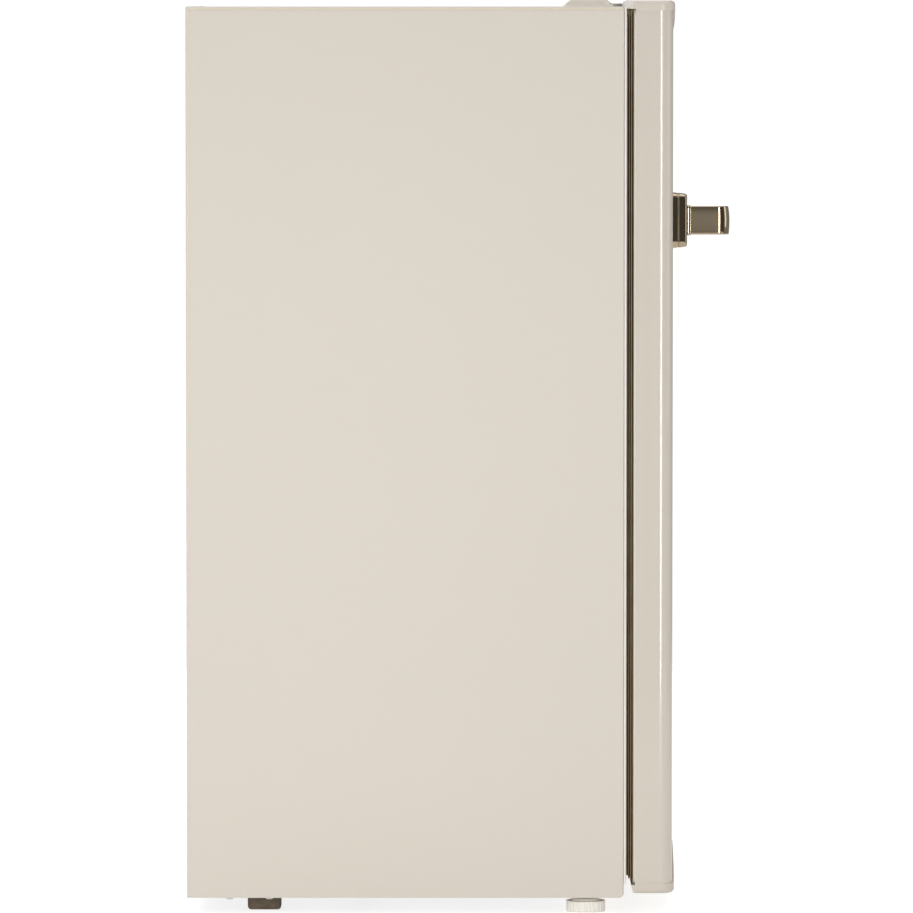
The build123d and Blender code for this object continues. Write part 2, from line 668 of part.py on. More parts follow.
dike_pocket = dike(SKIN, DOOR_BACK, DIKE_BACK - SKIN)
with BuildPart() as door_liner:
    add(dike(0, DOOR_BACK, DIKE_BACK))
    fillet(door_liner.edges().group_by(Axis.Y)[-1], 4)
    add(rounded_block(HALF - 5, DOOR_BOTTOM + 8, DOOR_TOP - 8, DOOR_BACK, DOOR_BACK + LINER_PLATE, 6))
    add(dike_pocket, mode=Mode.SUBTRACT)
    # lugs that the bins hang on
    for bottom, tall in BINS.values():
        for side in (-1, 1):
            low, high = sorted((side * (BIN_HALF + 0.5), side * (DIKE_HALF - DIKE_WIDTH + 0.5)))
            add(block(low, high, LUG_Y - 5, LUG_Y + 5, bottom + tall - 42, bottom + tall - 20))
save(door_liner.part, "door_liner")

with BuildPart() as door_foam:
    add(skin_inside)
    add(block(-HALF, HALF, DOOR_FRONT - 5, DOOR_BACK, CAP_TOP_BOTTOM, 900), mode=Mode.SUBTRACT)
    add(block(-HALF, HALF, DOOR_FRONT - 5, DOOR_BACK, 0, CAP_BOTTOM_TOP), mode=Mode.SUBTRACT)
    add(top_core)
    add(bottom_core)
    add(block(-HALF + SKIN_RETURN, HALF - SKIN_RETURN, DOOR_BACK - SHEET, DOOR_BACK, CAP_BOTTOM_TOP, CAP_TOP_BOTTOM))
    add(dike_pocket)
    add(pocket_floor, mode=Mode.SUBTRACT)
    add(block(PIN_X - 13, HALF - 1, PIN_Y - 13, DOOR_BACK - 1, DOOR_BOTTOM, CAP_BOTTOM_TOP), mode=Mode.SUBTRACT)
    add(rod(BOSS_RADIUS, (PIN_X, PIN_Y, 820), (0, 0, 1), 12), mode=Mode.SUBTRACT)
    add(rod(BOSS_RADIUS, (PIN_X, PIN_Y, CAP_BOTTOM_TOP), (0, 0, 1), 7), mode=Mode.SUBTRACT)
    for z in HANDLE_SCREW_Z:
        add(rod(6.5, (HANDLE_X, DOOR_FRONT - 3, z), (0, 1, 0), 14), mode=Mode.SUBTRACT)
save(door_foam.part, "door_foam")

# door_gasket: the soft seal, a frame with sloping outer sides; the magnets lie in its face
SEAL_BACK = DOOR_BACK + LINER_PLATE
SEAL_FACE = FRONT - FLANGE_THICK - REST_GAP
SEAL_BASE_INSET = 8.0
SEAL_FACE_INSET = 15.0
SEAL_INNER_INSET = 32.0


def seal_outline(inset, y, radius):
    """One rounded rectangle of the seal, an even distance inside the door's edges."""
    with BuildSketch(Plane.XZ.offset(-y)) as outline:
        with Locations((0, (DOOR_TOP + DOOR_BOTTOM) / 2)):
            RectangleRounded(WIDTH - 2 * inset, DOOR_TOP - DOOR_BOTTOM - 2 * inset, radius)
    return outline.sketch


base_outline = seal_outline(SEAL_BASE_INSET, SEAL_BACK, 5)
face_outline = seal_outline(SEAL_FACE_INSET, SEAL_FACE, 5)
inner_opening = rounded_block(
    HALF - SEAL_INNER_INSET, DOOR_BOTTOM + SEAL_INNER_INSET, DOOR_TOP - SEAL_INNER_INSET, SEAL_BACK - 1, SEAL_FACE + 1, 5
)
MAGNET_INSET = (18.0, 28.0)
magnet_ring = dict(y0=SEAL_FACE - 3.2, y1=SEAL_FACE - 0.7)
with BuildPart() as gasket_magnets:
    long_z = (DOOR_BOTTOM + MAGNET_INSET[1] + 2, DOOR_TOP - MAGNET_INSET[1] - 2)
    long_x = HALF - MAGNET_INSET[1] - 2
    for side in (-1, 1):
        low, high = sorted((side * (HALF - MAGNET_INSET[0]), side * (HALF - MAGNET_INSET[1])))
        add(block(low, high, magnet_ring["y0"], magnet_ring["y1"], *long_z))
    for z in (DOOR_BOTTOM + MAGNET_INSET[0], DOOR_TOP - MAGNET_INSET[1]):
        add(block(-long_x, long_x, magnet_ring["y0"], magnet_ring["y1"], z, z + MAGNET_INSET[1] - MAGNET_INSET[0]))
save(gasket_magnets.part, "gasket_magnets")

with BuildPart() as door_gasket:
    loft([base_outline.faces()[0], face_outline.faces()[0]])
    add(inner_opening, mode=Mode.SUBTRACT)
    add(gasket_magnets.part, mode=Mode.SUBTRACT)
save(door_gasket.part, "door_gasket")

# ---------------------------------------------------------------- handle
BOSS_FRONT = -210.7
BOSS_TALL = 50.0
BOSS_WIDE = 40.0
BOSS_STEP = 200.0
STEM_TALL = 26.0
END_TALL = 18.0
LEVER_END_X = -84.0
STEM_X = (-213.0, -201.0)
BAR_THICK = 10.0
BEND = 11.0

with BuildPart() as handle_base:
    with BuildSketch(Plane.XZ.offset(BOSS_STEP)):
        with Locations((HANDLE_X, HANDLE_Z)):
            RectangleRounded(BOSS_WIDE, BOSS_TALL, 7)
    extrude(amount=-12)
    with BuildSketch(Plane.XZ.offset(BOSS_STEP)):
        with Locations((HANDLE_X, HANDLE_Z)):
            RectangleRounded(BOSS_WIDE - 1.4, BOSS_TALL - 1.4, 6.3)
    extrude(amount=-BOSS_FRONT - BOSS_STEP, taper=3)
    fillet(handle_base.faces().sort_by(Axis.Y)[0].edges(), 3)
    add(door_envelope, mode=Mode.SUBTRACT)
    for z in HANDLE_SCREW_Z:
        add(rod(2.5, (HANDLE_X, DOOR_FRONT + 5, z), (0, -1, 0), 13), mode=Mode.SUBTRACT)
save(handle_base.part, "handle_base")

with BuildPart() as handle_lever:
    with BuildSketch(Plane.XY.offset(HANDLE_Z - STEM_TALL / 2)) as lever_plan:
        with BuildLine():
            Polyline(
                (STEM_X[0], BOSS_FRONT), (STEM_X[0], HANDLE_FRONT), (LEVER_END_X, HANDLE_FRONT),
                (LEVER_END_X, HANDLE_FRONT + BAR_THICK), (STEM_X[1], HANDLE_FRONT + BAR_THICK),
                (STEM_X[1], BOSS_FRONT), close=True,
            )
        make_face()
        corners = lever_plan.vertices()
        fillet(corners.group_by(Axis.Y)[0].sort_by(Axis.X)[0], BEND)
        inner_corner = lever_plan.vertices().filter_by_position(Axis.X, STEM_X[1] - 0.1, STEM_X[1] + 0.1)
        fillet(inner_corner.sort_by(Axis.Y)[0], 5)
        fillet(lever_plan.vertices().group_by(Axis.X)[-1], 4)
    extrude(amount=STEM_TALL)
    # the bar narrows towards its free end
    with BuildSketch(Plane.XZ.offset(-BOSS_FRONT)):
        with BuildLine():
            Polyline(
                (STEM_X[0], HANDLE_Z - STEM_TALL / 2), (STEM_X[1], HANDLE_Z - STEM_TALL / 2),
                (LEVER_END_X, HANDLE_Z - END_TALL / 2), (LEVER_END_X, HANDLE_Z + END_TALL / 2),
                (STEM_X[1], HANDLE_Z + STEM_TALL / 2), (STEM_X[0], HANDLE_Z + STEM_TALL / 2), close=True,
            )
        make_face()
    extrude(amount=BOSS_FRONT - HANDLE_FRONT, mode=Mode.INTERSECT)
    # the collar where the lever meets the boss
    with BuildSketch(Plane.XZ.offset(-BOSS_FRONT)):
        with Locations(((STEM_X[0] + STEM_X[1]) / 2, HANDLE_Z)):
            RectangleRounded(STEM_X[1] - STEM_X[0] + 3, STEM_TALL + 1.6, 2.5)
    extrude(amount=3)
save(handle_lever.part, "handle_lever")

with BuildPart() as handle_screws:
    for z in HANDLE_SCREW_Z:
        with BuildSketch(Plane.XZ.offset(HANDLE_SCREW_SEAT)):
            with Locations((HANDLE_X, z)):
                Circle(2.35)
        extrude(amount=8)
        with BuildSketch(Plane.XZ.offset(HANDLE_SCREW_SEAT)):
            with Locations((HANDLE_X, z)):
                Circle(5)
        extrude(amount=-3)
save(handle_screws.part, "handle_screws")


# ---------------------------------------------------------------- door bins
def door_bin(bottom, tall):
    """A clear tray that hangs on the door liner's lugs by an ear at each end."""
    with BuildPart() as tray:
        with BuildSketch(Plane.XY.offset(bottom)):
            with Locations((0, (BIN_FRONT + BIN_BACK) / 2)):
                Rectangle(2 * BIN_HALF, BIN_BACK - BIN_FRONT)
        extrude(amount=tall)
        fillet(tray.edges().filter_by(Axis.Z).group_by(Axis.Y)[-1], 22)
        fillet(tray.edges().group_by(Axis.Z)[0], 4)
        offset(amount=-BIN_WALL, openings=tray.faces().sort_by(Axis.Z)[-1])
        for side in (-1, 1):
            low, high = sorted((side * (BIN_HALF - 0.5), side * (BIN_HALF + 4.2)))
            add(block(low, high, LUG_Y - 6, LUG_Y + 6, bottom + tall - 20 + REST_GAP, bottom + tall - 16))
    return tray.part


for name, (bottom, tall) in BINS.items():
    save(door_bin(bottom, tall), name)

# ================================================================ inside the cabinet
# freezer_box: the evaporator, a folded aluminium box open at the front
with BuildPart() as freezer_box:
    add(rounded_block(FREEZER_HALF, FREEZER_BOTTOM, FREEZER_TOP, FREEZER_FRONT, INSIDE_BACK - 8, 9))
    add(
        rounded_block(
            FREEZER_HALF - 1.6, FREEZER_BOTTOM + 1.6, FREEZER_TOP - 1.6, FREEZER_FRONT - 1, INSIDE_BACK - 9.6, 7.4
        ),
        mode=Mode.SUBTRACT,
    )
save(freezer_box.part, "freezer_box")

EAR_X = (177.5, 181.5)
with BuildPart() as freezer_frame:
    add(rounded_block(EAR_X[1], FREEZER_BOTTOM - 7, FREEZER_TOP + 12, FREEZER_FRONT - 12, FREEZER_FRONT, 8))
    add(
        rounded_block(FREEZER_HALF - 8, FREEZER_BOTTOM + 8, FREEZER_TOP - 8, FREEZER_FRONT - 13, FREEZER_FRONT + 1, 6),
        mode=Mode.SUBTRACT,
    )
    for side in (-1, 1):
        low, high = sorted((side * EAR_X[0], side * EAR_X[1]))
        add(block(low, high, FLAP_AXIS_Y - 6, FREEZER_FRONT - 6, FLAP_AXIS_Z - 7, FLAP_AXIS_Z + 7))
        add(rod(2.0 + RUNNING, (side * 175, FLAP_AXIS_Y, FLAP_AXIS_Z), (side, 0, 0), 10), mode=Mode.SUBTRACT)
save(freezer_frame.part, "freezer_frame")

# freezer_flap: hangs from two pins at its top edge and lifts outwards
flap_low = FLAP_AXIS_Z - FLAP_REACH
with BuildPart() as freezer_flap:
    with BuildSketch(Plane.YZ.offset(-176)) as flap_side:
        with Locations((FLAP_AXIS_Y, (flap_low + FLAP_AXIS_Z) / 2)):
            Rectangle(FLAP_THICK, FLAP_REACH)
        with Locations((FLAP_AXIS_Y, FLAP_AXIS_Z)):
            Circle(FLAP_THICK / 2)
    extrude(amount=352)
    # the grip along the lower edge
    with Locations((0, FLAP_AXIS_Y - FLAP_THICK / 2 - 2.5, flap_low + 6)):
        Box(120, 6, 5)
    # shallow recessed panel on the front
    with Locations((0, FLAP_AXIS_Y - FLAP_THICK / 2, flap_low + 56)):
        Box(300, 2.4, 66, mode=Mode.SUBTRACT)
    for side in (-1, 1):
        add(rod(2.0, (side * 175.5, FLAP_AXIS_Y, FLAP_AXIS_Z), (side, 0, 0), 5.5))
save(freezer_flap.part, "freezer_flap")

with BuildPart() as freezer_hangers:
    with BuildSketch(Plane.XY.offset(FREEZER_TOP)):
        with Locations((-120, 30), (120, 30), (-120, 150), (120, 150)):
            Circle(6)
    extrude(amount=INSIDE_TOP - FREEZER_TOP)
save(freezer_hangers.part, "freezer_hangers")

with BuildPart() as drip_tray:
    add(block(-INSIDE_HALF + 8, INSIDE_HALF - 8, -30, INSIDE_BACK - 14, *TRAY_Z))
    fillet(drip_tray.edges().filter_by(Axis.Z), 8)
    offset(amount=-1.8, openings=drip_tray.faces().sort_by(Axis.Z)[-1])
save(drip_tray.part, "drip_tray")

# the thermostat: a moulded housing on the right wall, its switch body and its dial
DIAL_Y = 0.0
DIAL_Z = 561.0
HOUSING_X = 168.0
with BuildPart() as thermostat_housing:
    add(block(HOUSING_X, INSIDE_HALF, -45, 45, 530, 592))
    fillet(thermostat_housing.edges().filter_by(Axis.X), 8)
    fillet(thermostat_housing.faces().sort_by(Axis.X)[0].edges(), 4)
    add(block(HOUSING_X + 2.5, INSIDE_HALF + 1, -42, 42, 533, 589), mode=Mode.SUBTRACT)
    add(rod(3.6, (HOUSING_X - 1, DIAL_Y, DIAL_Z), (1, 0, 0), 6), mode=Mode.SUBTRACT)
save(thermostat_housing.part, "thermostat_housing")

with BuildPart() as thermostat_body:
    add(block(HOUSING_X + 3.5, INSIDE_HALF - 1, -20, 20, 545, 577))
    add(rod(3.0, (HOUSING_X - 8, DIAL_Y, DIAL_Z), (1, 0, 0), 13))
save(thermostat_body.part, "thermostat_body")

DIAL_RADIUS = 17.0
with BuildPart() as thermostat_dial:
    with BuildSketch(Plane(origin=(HOUSING_X - 0.6, DIAL_Y, DIAL_Z), z_dir=(-1, 0, 0))):
        Circle(DIAL_RADIUS)
        with PolarLocations(DIAL_RADIUS + 0.6, 20):
            Circle(1.6, mode=Mode.SUBTRACT)
    extrude(amount=12)
    chamfer(thermostat_dial.faces().sort_by(Axis.X)[0].edges(), 0.8)
    add(rod(3.0 + RUNNING, (HOUSING_X - 8.6, DIAL_Y, DIAL_Z), (1, 0, 0), 10), mode=Mode.SUBTRACT)
save(thermostat_dial.part, "thermostat_dial")


def shelf(level):
    """A glass pane and the trim moulded along its front edge."""
    pane = block(-SHELF_HALF, SHELF_HALF, SHELF_FRONT + 4, SHELF_BACK, level, level + GLASS)
    with BuildPart() as trim:
        add(block(-SHELF_HALF, SHELF_HALF, SHELF_FRONT, SHELF_FRONT + 14, level - 6, level + GLASS + 8))
        fillet(trim.edges().filter_by(Axis.X).group_by(Axis.Y)[0], 5)
        add(pane, mode=Mode.SUBTRACT)
        # the trim stops short of the ribs below the pane
        for side in (-1, 1):
            low, high = sorted((side * (INSIDE_HALF - RIB_REACH - 1), side * INSIDE_HALF))
            add(block(low, high, SHELF_FRONT - 1, SHELF_FRONT + 15, level - 7, level - REST_GAP + 0.3), mode=Mode.SUBTRACT)
    return pane, trim.part


for name, level in SHELF_LEVELS.items():
    pane, trim = shelf(level)
    save(pane, f"{name}_glass")
    save(trim, f"{name}_trim")

# crisper_drawer: a clear bin on the side ribs, over the step
with BuildPart() as crisper_drawer:
    add(block(-INSIDE_HALF + 11, INSIDE_HALF - 11, SHELF_FRONT, SHELF_BACK, *DRAWER_Z))
    fillet(crisper_drawer.edges().filter_by(Axis.Z), 10)
    fillet(crisper_drawer.edges().group_by(Axis.Z)[0], 5)
    offset(amount=-2.2, openings=crisper_drawer.faces().sort_by(Axis.Z)[-1])
    # a finger scoop in the front wall
    with BuildSketch(Plane.XZ.offset(-SHELF_FRONT + 5)):
        with Locations((0, DRAWER_Z[1])):
            Ellipse(45, 14)
    extrude(amount=-12, mode=Mode.SUBTRACT)
save(crisper_drawer.part, "crisper_drawer")

# ================================================================ compressor bay
TRAY_HALF = HALF - SHEET - 0.5
with BuildPart() as compressor_tray:
    with BuildSketch(Plane.YZ.offset(-TRAY_HALF)):
        with BuildLine():
            Polyline(
                (95, FLOOR), (246, FLOOR), (246, 38), (244.5, 38), (244.5, FLOOR + 1.5),
                (96.5, FLOOR + 1.5), (96.5, 30), (95, 30), close=True,
            )
        make_face()
    extrude(amount=2 * TRAY_HALF)
    with Locations(*[(x, y, FLOOR) for x, y in base_screw_spots]):
        Cylinder(2.1, 8, mode=Mode.SUBTRACT)
    with Locations((-150, 246, 28)):
        Cylinder(5, 20, rotation=(90, 0, 0), mode=Mode.SUBTRACT)
save(compressor_tray.part, "compressor_tray")

# cord_gland: the bushing in the tray's rear lip where a supply lead would pass
with BuildPart() as cord_gland:
    with BuildSketch(Plane.XZ.offset(-249)):
        with Locations((-150, 28)):
            Circle(8)
            Circle(3.8, mode=Mode.SUBTRACT)
    extrude(amount=3)
    with BuildSketch(Plane.XZ.offset(-246)):
        with Locations((-150, 28)):
            Circle(4.9)
            Circle(3.8, mode=Mode.SUBTRACT)
    extrude(amount=6)
save(cord_gland.part, "cord_gland")

grommet_spots = [(COMPRESSOR_X + dx, COMPRESSOR_Y + dy) for dx in (-75, 75) for dy in (-45, 45)]
TRAY_TOP = FLOOR + 1.5
LEG_Z = (33.0, 36.0)
with BuildPart() as compressor_grommets:
    with BuildSketch(Plane.XY.offset(TRAY_TOP)):
        with Locations(*grommet_spots):
            Circle(10)
            Circle(4, mode=Mode.SUBTRACT)
    extrude(amount=LEG_Z[0] - TRAY_TOP)
    waist = compressor_grommets.edges().group_by(Axis.Z)
    chamfer(waist[-1].filter_by(lambda e: e.radius > 6), 2.5)
save(compressor_grommets.part, "compressor_grommets")

with BuildPart() as compressor_bolts:
    with BuildSketch(Plane.XY.offset(TRAY_TOP)):
        with Locations(*grommet_spots):
            Circle(3.5)
    extrude(amount=LEG_Z[1] - TRAY_TOP + 1)
    with BuildSketch(Plane.XY.offset(LEG_Z[1] + 0.2)):
        with Locations(*grommet_spots):
            RegularPolygon(7, 6)
    extrude(amount=5)
save(compressor_bolts.part, "compressor_bolts")

with BuildPart() as compressor:
    with Locations((COMPRESSOR_X, COMPRESSOR_Y)):
        with BuildSketch(Plane.XY.offset(LEG_Z[0])) as legs:
            with Locations((COMPRESSOR_X, COMPRESSOR_Y)):
                RectangleRounded(178, 112, 12)
            with Locations(*grommet_spots):
                Circle(3.8, mode=Mode.SUBTRACT)
    extrude(amount=LEG_Z[1] - LEG_Z[0])
    with BuildSketch(Plane.XY.offset(LEG_Z[1])):
        with Locations((COMPRESSOR_X, COMPRESSOR_Y)):
            Ellipse(62, 56)
    extrude(amount=112)
    fillet(compressor.edges().group_by(Axis.Z)[-1], 30)
    with BuildSketch(Plane.XY.offset(92)):
        with Locations((COMPRESSOR_X, COMPRESSOR_Y)):
            Ellipse(65, 59)
    extrude(amount=4)
save(compressor.part, "compressor")

# relay_cover: the plastic box over the start relay and overload, on the compressor's side
with BuildPart() as relay_cover:
    add(block(-80, COMPRESSOR_X - 50, 140, 182, 55, 110))
    fillet(relay_cover.edges().filter_by(Axis.X), 6)
    with BuildSketch(Plane.XY.offset(30)):
        with Locations((COMPRESSOR_X, COMPRESSOR_Y)):
            Ellipse(65.3, 59.3)
    extrude(amount=100, mode=Mode.SUBTRACT)
save(relay_cover.part, "relay_cover")


def tube(route, radius, bend):
    """A copper tube along straight runs joined by bends."""
    first = Vector(*route[1]) - Vector(*route[0])
    with BuildPart() as made:
        with BuildLine() as line:
            FilletPolyline(*route, radius=bend)
        with BuildSketch(Plane(origin=route[0], z_dir=first)):
            Circle(radius)
        sweep(path=line.line)
    return made.part


PORT_X = COMPRESSOR_X + 68
suction = tube([(PORT_X, 150, 80), (130, 150, 80), (130, 150, 182), (130, 92, 182)], 4.0, 14)
discharge = tube([(PORT_X, 175, 80), (160, 175, 80), (160, 105, 80), (160, 105, 185), (205, 105, 185)], 3.0, 12)
save(suction, "suction_tube")
save(discharge, "discharge_tube")

with BuildPart() as filter_drier:
    add(rod(9, (-200, 120, 70), (0, 0, 1), 80))
    fillet(filter_drier.edges(), 5)
    add(rod(3, (-200, 120, 146), (0, 0, 1), BAY_TOP - SHEET - 0.5 - 146))
    add(rod(2, (-200, 120, 45), (0, 0, 1), 30))
save(filter_drier.part, "filter_drier")

# evaporation_pan: the shallow dish on top of the compressor that defrost water runs into
with BuildPart() as evaporation_pan:
    with BuildSketch(Plane.XY.offset(148.5)):
        with Locations((COMPRESSOR_X, COMPRESSOR_Y)):
            RectangleRounded(96, 84, 12)
    extrude(amount=24)
    offset(amount=-1.8, openings=evaporation_pan.faces().sort_by(Axis.Z)[-1])
save(evaporation_pan.part, "evaporation_pan")

DRAIN = (10, 150, 165)
save(rod(5, DRAIN, (0, 0, 1), BAY_TOP - SHEET - 0.5 - DRAIN[2]), "drain_tube")
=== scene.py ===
# %% [markdown]
# # A retro mini fridge
# The fridge arrives as a frame of named parts, each on the body that it moves with. This lesson gives every
# part its finish, and rebuilds the few parts whose shape a plain solid can't show: the folded door seal, the
# plated handle and the screw heads. It adds small things that such a fridge also has: the lip and the hem of
# the cabinet, the channels of the freezer box, the marks of the thermostat, and the bead and plate of the back.

# %% Load the frame
import json
from math import cos, pi, radians, sin, sqrt

import bmesh
import bpy
from mathutils import Matrix, Vector


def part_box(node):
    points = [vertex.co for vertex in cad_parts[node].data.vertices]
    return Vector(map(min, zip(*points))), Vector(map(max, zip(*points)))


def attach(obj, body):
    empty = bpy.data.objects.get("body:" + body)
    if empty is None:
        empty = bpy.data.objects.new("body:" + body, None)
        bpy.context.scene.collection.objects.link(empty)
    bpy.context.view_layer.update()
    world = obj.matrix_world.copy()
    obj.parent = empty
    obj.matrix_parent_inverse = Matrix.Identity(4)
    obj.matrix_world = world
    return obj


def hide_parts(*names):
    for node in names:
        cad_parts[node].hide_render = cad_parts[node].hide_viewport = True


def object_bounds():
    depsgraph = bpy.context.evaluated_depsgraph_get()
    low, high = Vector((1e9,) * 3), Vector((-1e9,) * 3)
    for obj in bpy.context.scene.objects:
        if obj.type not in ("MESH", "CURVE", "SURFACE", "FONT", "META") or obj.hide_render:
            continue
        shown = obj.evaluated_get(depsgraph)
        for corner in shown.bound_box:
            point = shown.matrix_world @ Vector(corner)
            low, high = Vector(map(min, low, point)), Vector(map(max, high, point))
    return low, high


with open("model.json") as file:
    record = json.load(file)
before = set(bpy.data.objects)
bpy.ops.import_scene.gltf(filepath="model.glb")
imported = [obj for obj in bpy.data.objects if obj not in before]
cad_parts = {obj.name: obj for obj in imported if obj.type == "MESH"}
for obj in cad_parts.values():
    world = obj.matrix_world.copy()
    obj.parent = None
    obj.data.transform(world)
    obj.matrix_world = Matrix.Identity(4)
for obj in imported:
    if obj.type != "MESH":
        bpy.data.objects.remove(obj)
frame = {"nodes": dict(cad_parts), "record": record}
cad_low, cad_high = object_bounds()
MM = 0.001
nodes = frame["nodes"]
scene = bpy.context.scene
print("frame", len(nodes), "nodes, box", [round(v, 4) for v in cad_low], [round(v, 4) for v in cad_high])

# %% [markdown]
# ## Camera
# A product shot of an appliance's side is taken from far away with a long lens, so that the side stays a true
# rectangle. The camera stands seven metres off at the height of the fridge's top, tipped down a little, and
# the lens is chosen so that the frame's width spans the fridge from top to bottom.


# %% Camera
def in_scene(name, data):
    """An object for a camera, a light or a mesh, placed in the scene."""
    made = bpy.data.objects.new(name, data)
    scene.collection.objects.link(made)
    return made


shell_low, shell_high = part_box("outer_shell")
CAMERA_DISTANCE = 7.2
SENSOR = 36.0  # mm
FRAME_WIDTH = 0.8375  # what the picture spans at the side of the cabinet
FRAME_CENTRE = (0.0016, 0.4226)  # forwards and up
target = Vector((shell_low.x, *FRAME_CENTRE))

camera_data = bpy.data.cameras.new("side_camera")
camera_data.sensor_width = SENSOR
camera_data.lens = SENSOR * CAMERA_DISTANCE / FRAME_WIDTH
camera = in_scene("side_camera", camera_data)
camera.location = (shell_low.x - CAMERA_DISTANCE, target.y, cad_high[2])
camera.rotation_euler = (target - camera.location).to_track_quat("-Z", "Y").to_euler()
scene.camera = camera
print("lens", round(camera_data.lens, 1), "mm")

# %% [markdown]
# ## Tools for making materials
# Materials, the floor and the surround are all built from nodes. These helpers each make one kind of node, join
# what feeds it, and give its output. Each effect that several finishes share is a node group: a small machine
# with named inputs and outputs, built once. Every material places the group and sets its own values.


# %% Node helpers
def new_material(name):
    """A material with nodes; gives it, its node tree and its shader."""
    material = bpy.data.materials.new(name)
    material.use_nodes = True
    return material, material.node_tree, material.node_tree.nodes["Principled BSDF"]


def set_plain(node, values):
    """Values that are the same all over, on a node's own sockets."""
    for label, value in values.items():
        node.inputs[label].default_value = value


def feed(tree, socket, value):
    """Joins a socket to the output that feeds it, or sets it to a number or a colour."""
    if isinstance(value, bpy.types.NodeSocket):
        tree.links.new(value, socket)
    else:
        socket.default_value = (*value, 1) if isinstance(value, tuple) else value


COLOUR, VECTOR, FLOAT = "NodeSocketColor", "NodeSocketVector", "NodeSocketFloat"


def new_group(name, inputs, outputs):
    """An empty shader group. Inputs are (name, kind, value) and outputs are (name, kind)."""
    group = bpy.data.node_groups.new(name, "ShaderNodeTree")
    for label, kind, value in inputs:
        made = group.interface.new_socket(label, in_out="INPUT", socket_type=kind)
        made.default_value = value
    for label, kind in outputs:
        group.interface.new_socket(label, in_out="OUTPUT", socket_type=kind)
    return group, group.nodes.new("NodeGroupInput"), group.nodes.new("NodeGroupOutput")


def math_node(tree, operation, first, second, clamp=False):
    """A math node, fed by sockets or plain numbers; gives its output socket."""
    node = tree.nodes.new("ShaderNodeMath")
    node.operation = operation
    node.use_clamp = clamp
    feed(tree, node.inputs[0], first)
    feed(tree, node.inputs[1], second)
    return node.outputs[0]


def noise_node(tree, scale, detail, place=None):
    """Noise over the object's own coordinates, unless it is given others; gives its factor."""
    if place is None:
        place = tree.nodes.new("ShaderNodeTexCoord").outputs["Object"]
    noise = tree.nodes.new("ShaderNodeTexNoise")
    for label, value in (("Vector", place), ("Scale", scale), ("Detail", detail)):
        feed(tree, noise.inputs[label], value)
    return noise.outputs["Fac"]


def spread(tree, value, low, high, to_low=0.0, to_high=1.0):
    """Maps a value's range to another, clamped."""
    node = tree.nodes.new("ShaderNodeMapRange")
    tree.links.new(value, node.inputs["Value"])
    set_plain(node, {"From Min": low, "From Max": high, "To Min": to_low, "To Max": to_high})
    return node.outputs["Result"]


def mix_colour(tree, factor, first, second):
    """Mixes two colours by a factor; gives the colour socket."""
    node = tree.nodes.new("ShaderNodeMix")
    node.data_type = "RGBA"
    for slot, value in ((0, factor), (6, first), (7, second)):  # the node's own sockets for colours
        feed(tree, node.inputs[slot], value)
    return node.outputs[2]


def switch(tree, kind_of_ray, otherwise, then):
    """One value, or another for one kind of ray; each is a number or a socket. Gives the value's socket."""
    node = tree.nodes.new("ShaderNodeMapRange")
    is_kind = tree.nodes.new("ShaderNodeLightPath").outputs[kind_of_ray]
    for label, value in (("Value", is_kind), ("To Min", otherwise), ("To Max", then)):
        feed(tree, node.inputs[label], value)
    return node.outputs["Result"]


print("node helpers ready")

# %% [markdown]
# ## Floor and light
# The floor is a plain pale sheet. It glows, so that it looks as pale as the surround, but sends less of that
# glow up to the fridge. Light comes from large soft panels: one facing the side, one in front of the door, one
# over the top and one on the far side. Large panels give the enamel its smooth, even tone. One more stands tall
# and narrow off the front corner and shows only in reflections: it draws the bright line down the door's edge.


# %% Floor
FLOOR_HALF = 2.4
FLOOR_COLOUR = (0.46, 0.46, 0.458)
GLOW_CAST, GLOW_SEEN = 0.42, 0.76


def plain_floor(half, colour):
    """A square sheet of floor, which isn't part of the fridge."""
    mesh = bpy.data.meshes.new("floor")
    corners = [(x * half, y * half, 0) for x, y in ((-1, -1), (1, -1), (1, 1), (-1, 1))]
    mesh.from_pydata(corners, [], [(0, 1, 2, 3)])
    paint, tree, shader = new_material("floor_paper")
    set_plain(shader, {
        "Base Color": (*colour, 1), "Roughness": 0.9, "Specular IOR Level": 0.1, "Emission Color": (1, 1, 1, 1),
    })
    feed(tree, shader.inputs["Emission Strength"], switch(tree, "Is Camera Ray", GLOW_CAST, GLOW_SEEN))
    mesh.materials.append(paint)
    in_scene("floor", mesh)


plain_floor(FLOOR_HALF, FLOOR_COLOUR)
print("floor", 2 * FLOOR_HALF, "m square")


# %% Light panels
def light_panel(name, place, aim, width, height, power):
    """A soft white rectangular light at place, facing aim, of so many watts."""
    data = bpy.data.lights.new(name, "AREA")
    data.shape = "RECTANGLE"
    data.size = width
    data.size_y = height
    data.energy = power
    lamp = in_scene(name, data)
    lamp.location = place
    lamp.rotation_euler = (Vector(aim) - Vector(place)).to_track_quat("-Z", "Y").to_euler()
    return lamp


side_light = light_panel("side_panel", (-1.75, 0.31, 0.46), (-0.2, 0.22, 0.44), 1.0, 1.0, 10.6)
side_light.visible_glossy = False
edge_light = light_panel("edge_strip", (-4.0, -1.36, 0.6), (-0.24, -0.19, 0.45), 0.42, 2.8, 50)
edge_light.visible_diffuse = False
light_panel("front_panel", (-0.6, -3.4, 1.5), (0, -0.2, 0.5), 1.0, 2.6, 10.5)
light_panel("top_panel", (0.2, 0.3, 3.4), (0, 0, 0.2), 4.2, 4.2, 62)
light_panel("far_panel", (3.4, 1.6, 1.8), (0, 0, 0.4), 2.4, 2.4, 30)

# %% [markdown]
# ## Surround
# The surround is pure white behind the fridge, but lights it with less than that, so that the panels shape it.
# What polished metal mirrors is darker still, as in a studio where black flags stand beside the lamps: that is
# what gives plating its deep tone between the highlights. A colour ramp holds those tones, by how far round
# from straight out of the fridge's side the mirrored direction looks.

# %% Surround
SEEN, LIGHTING = 1.05, 0.50
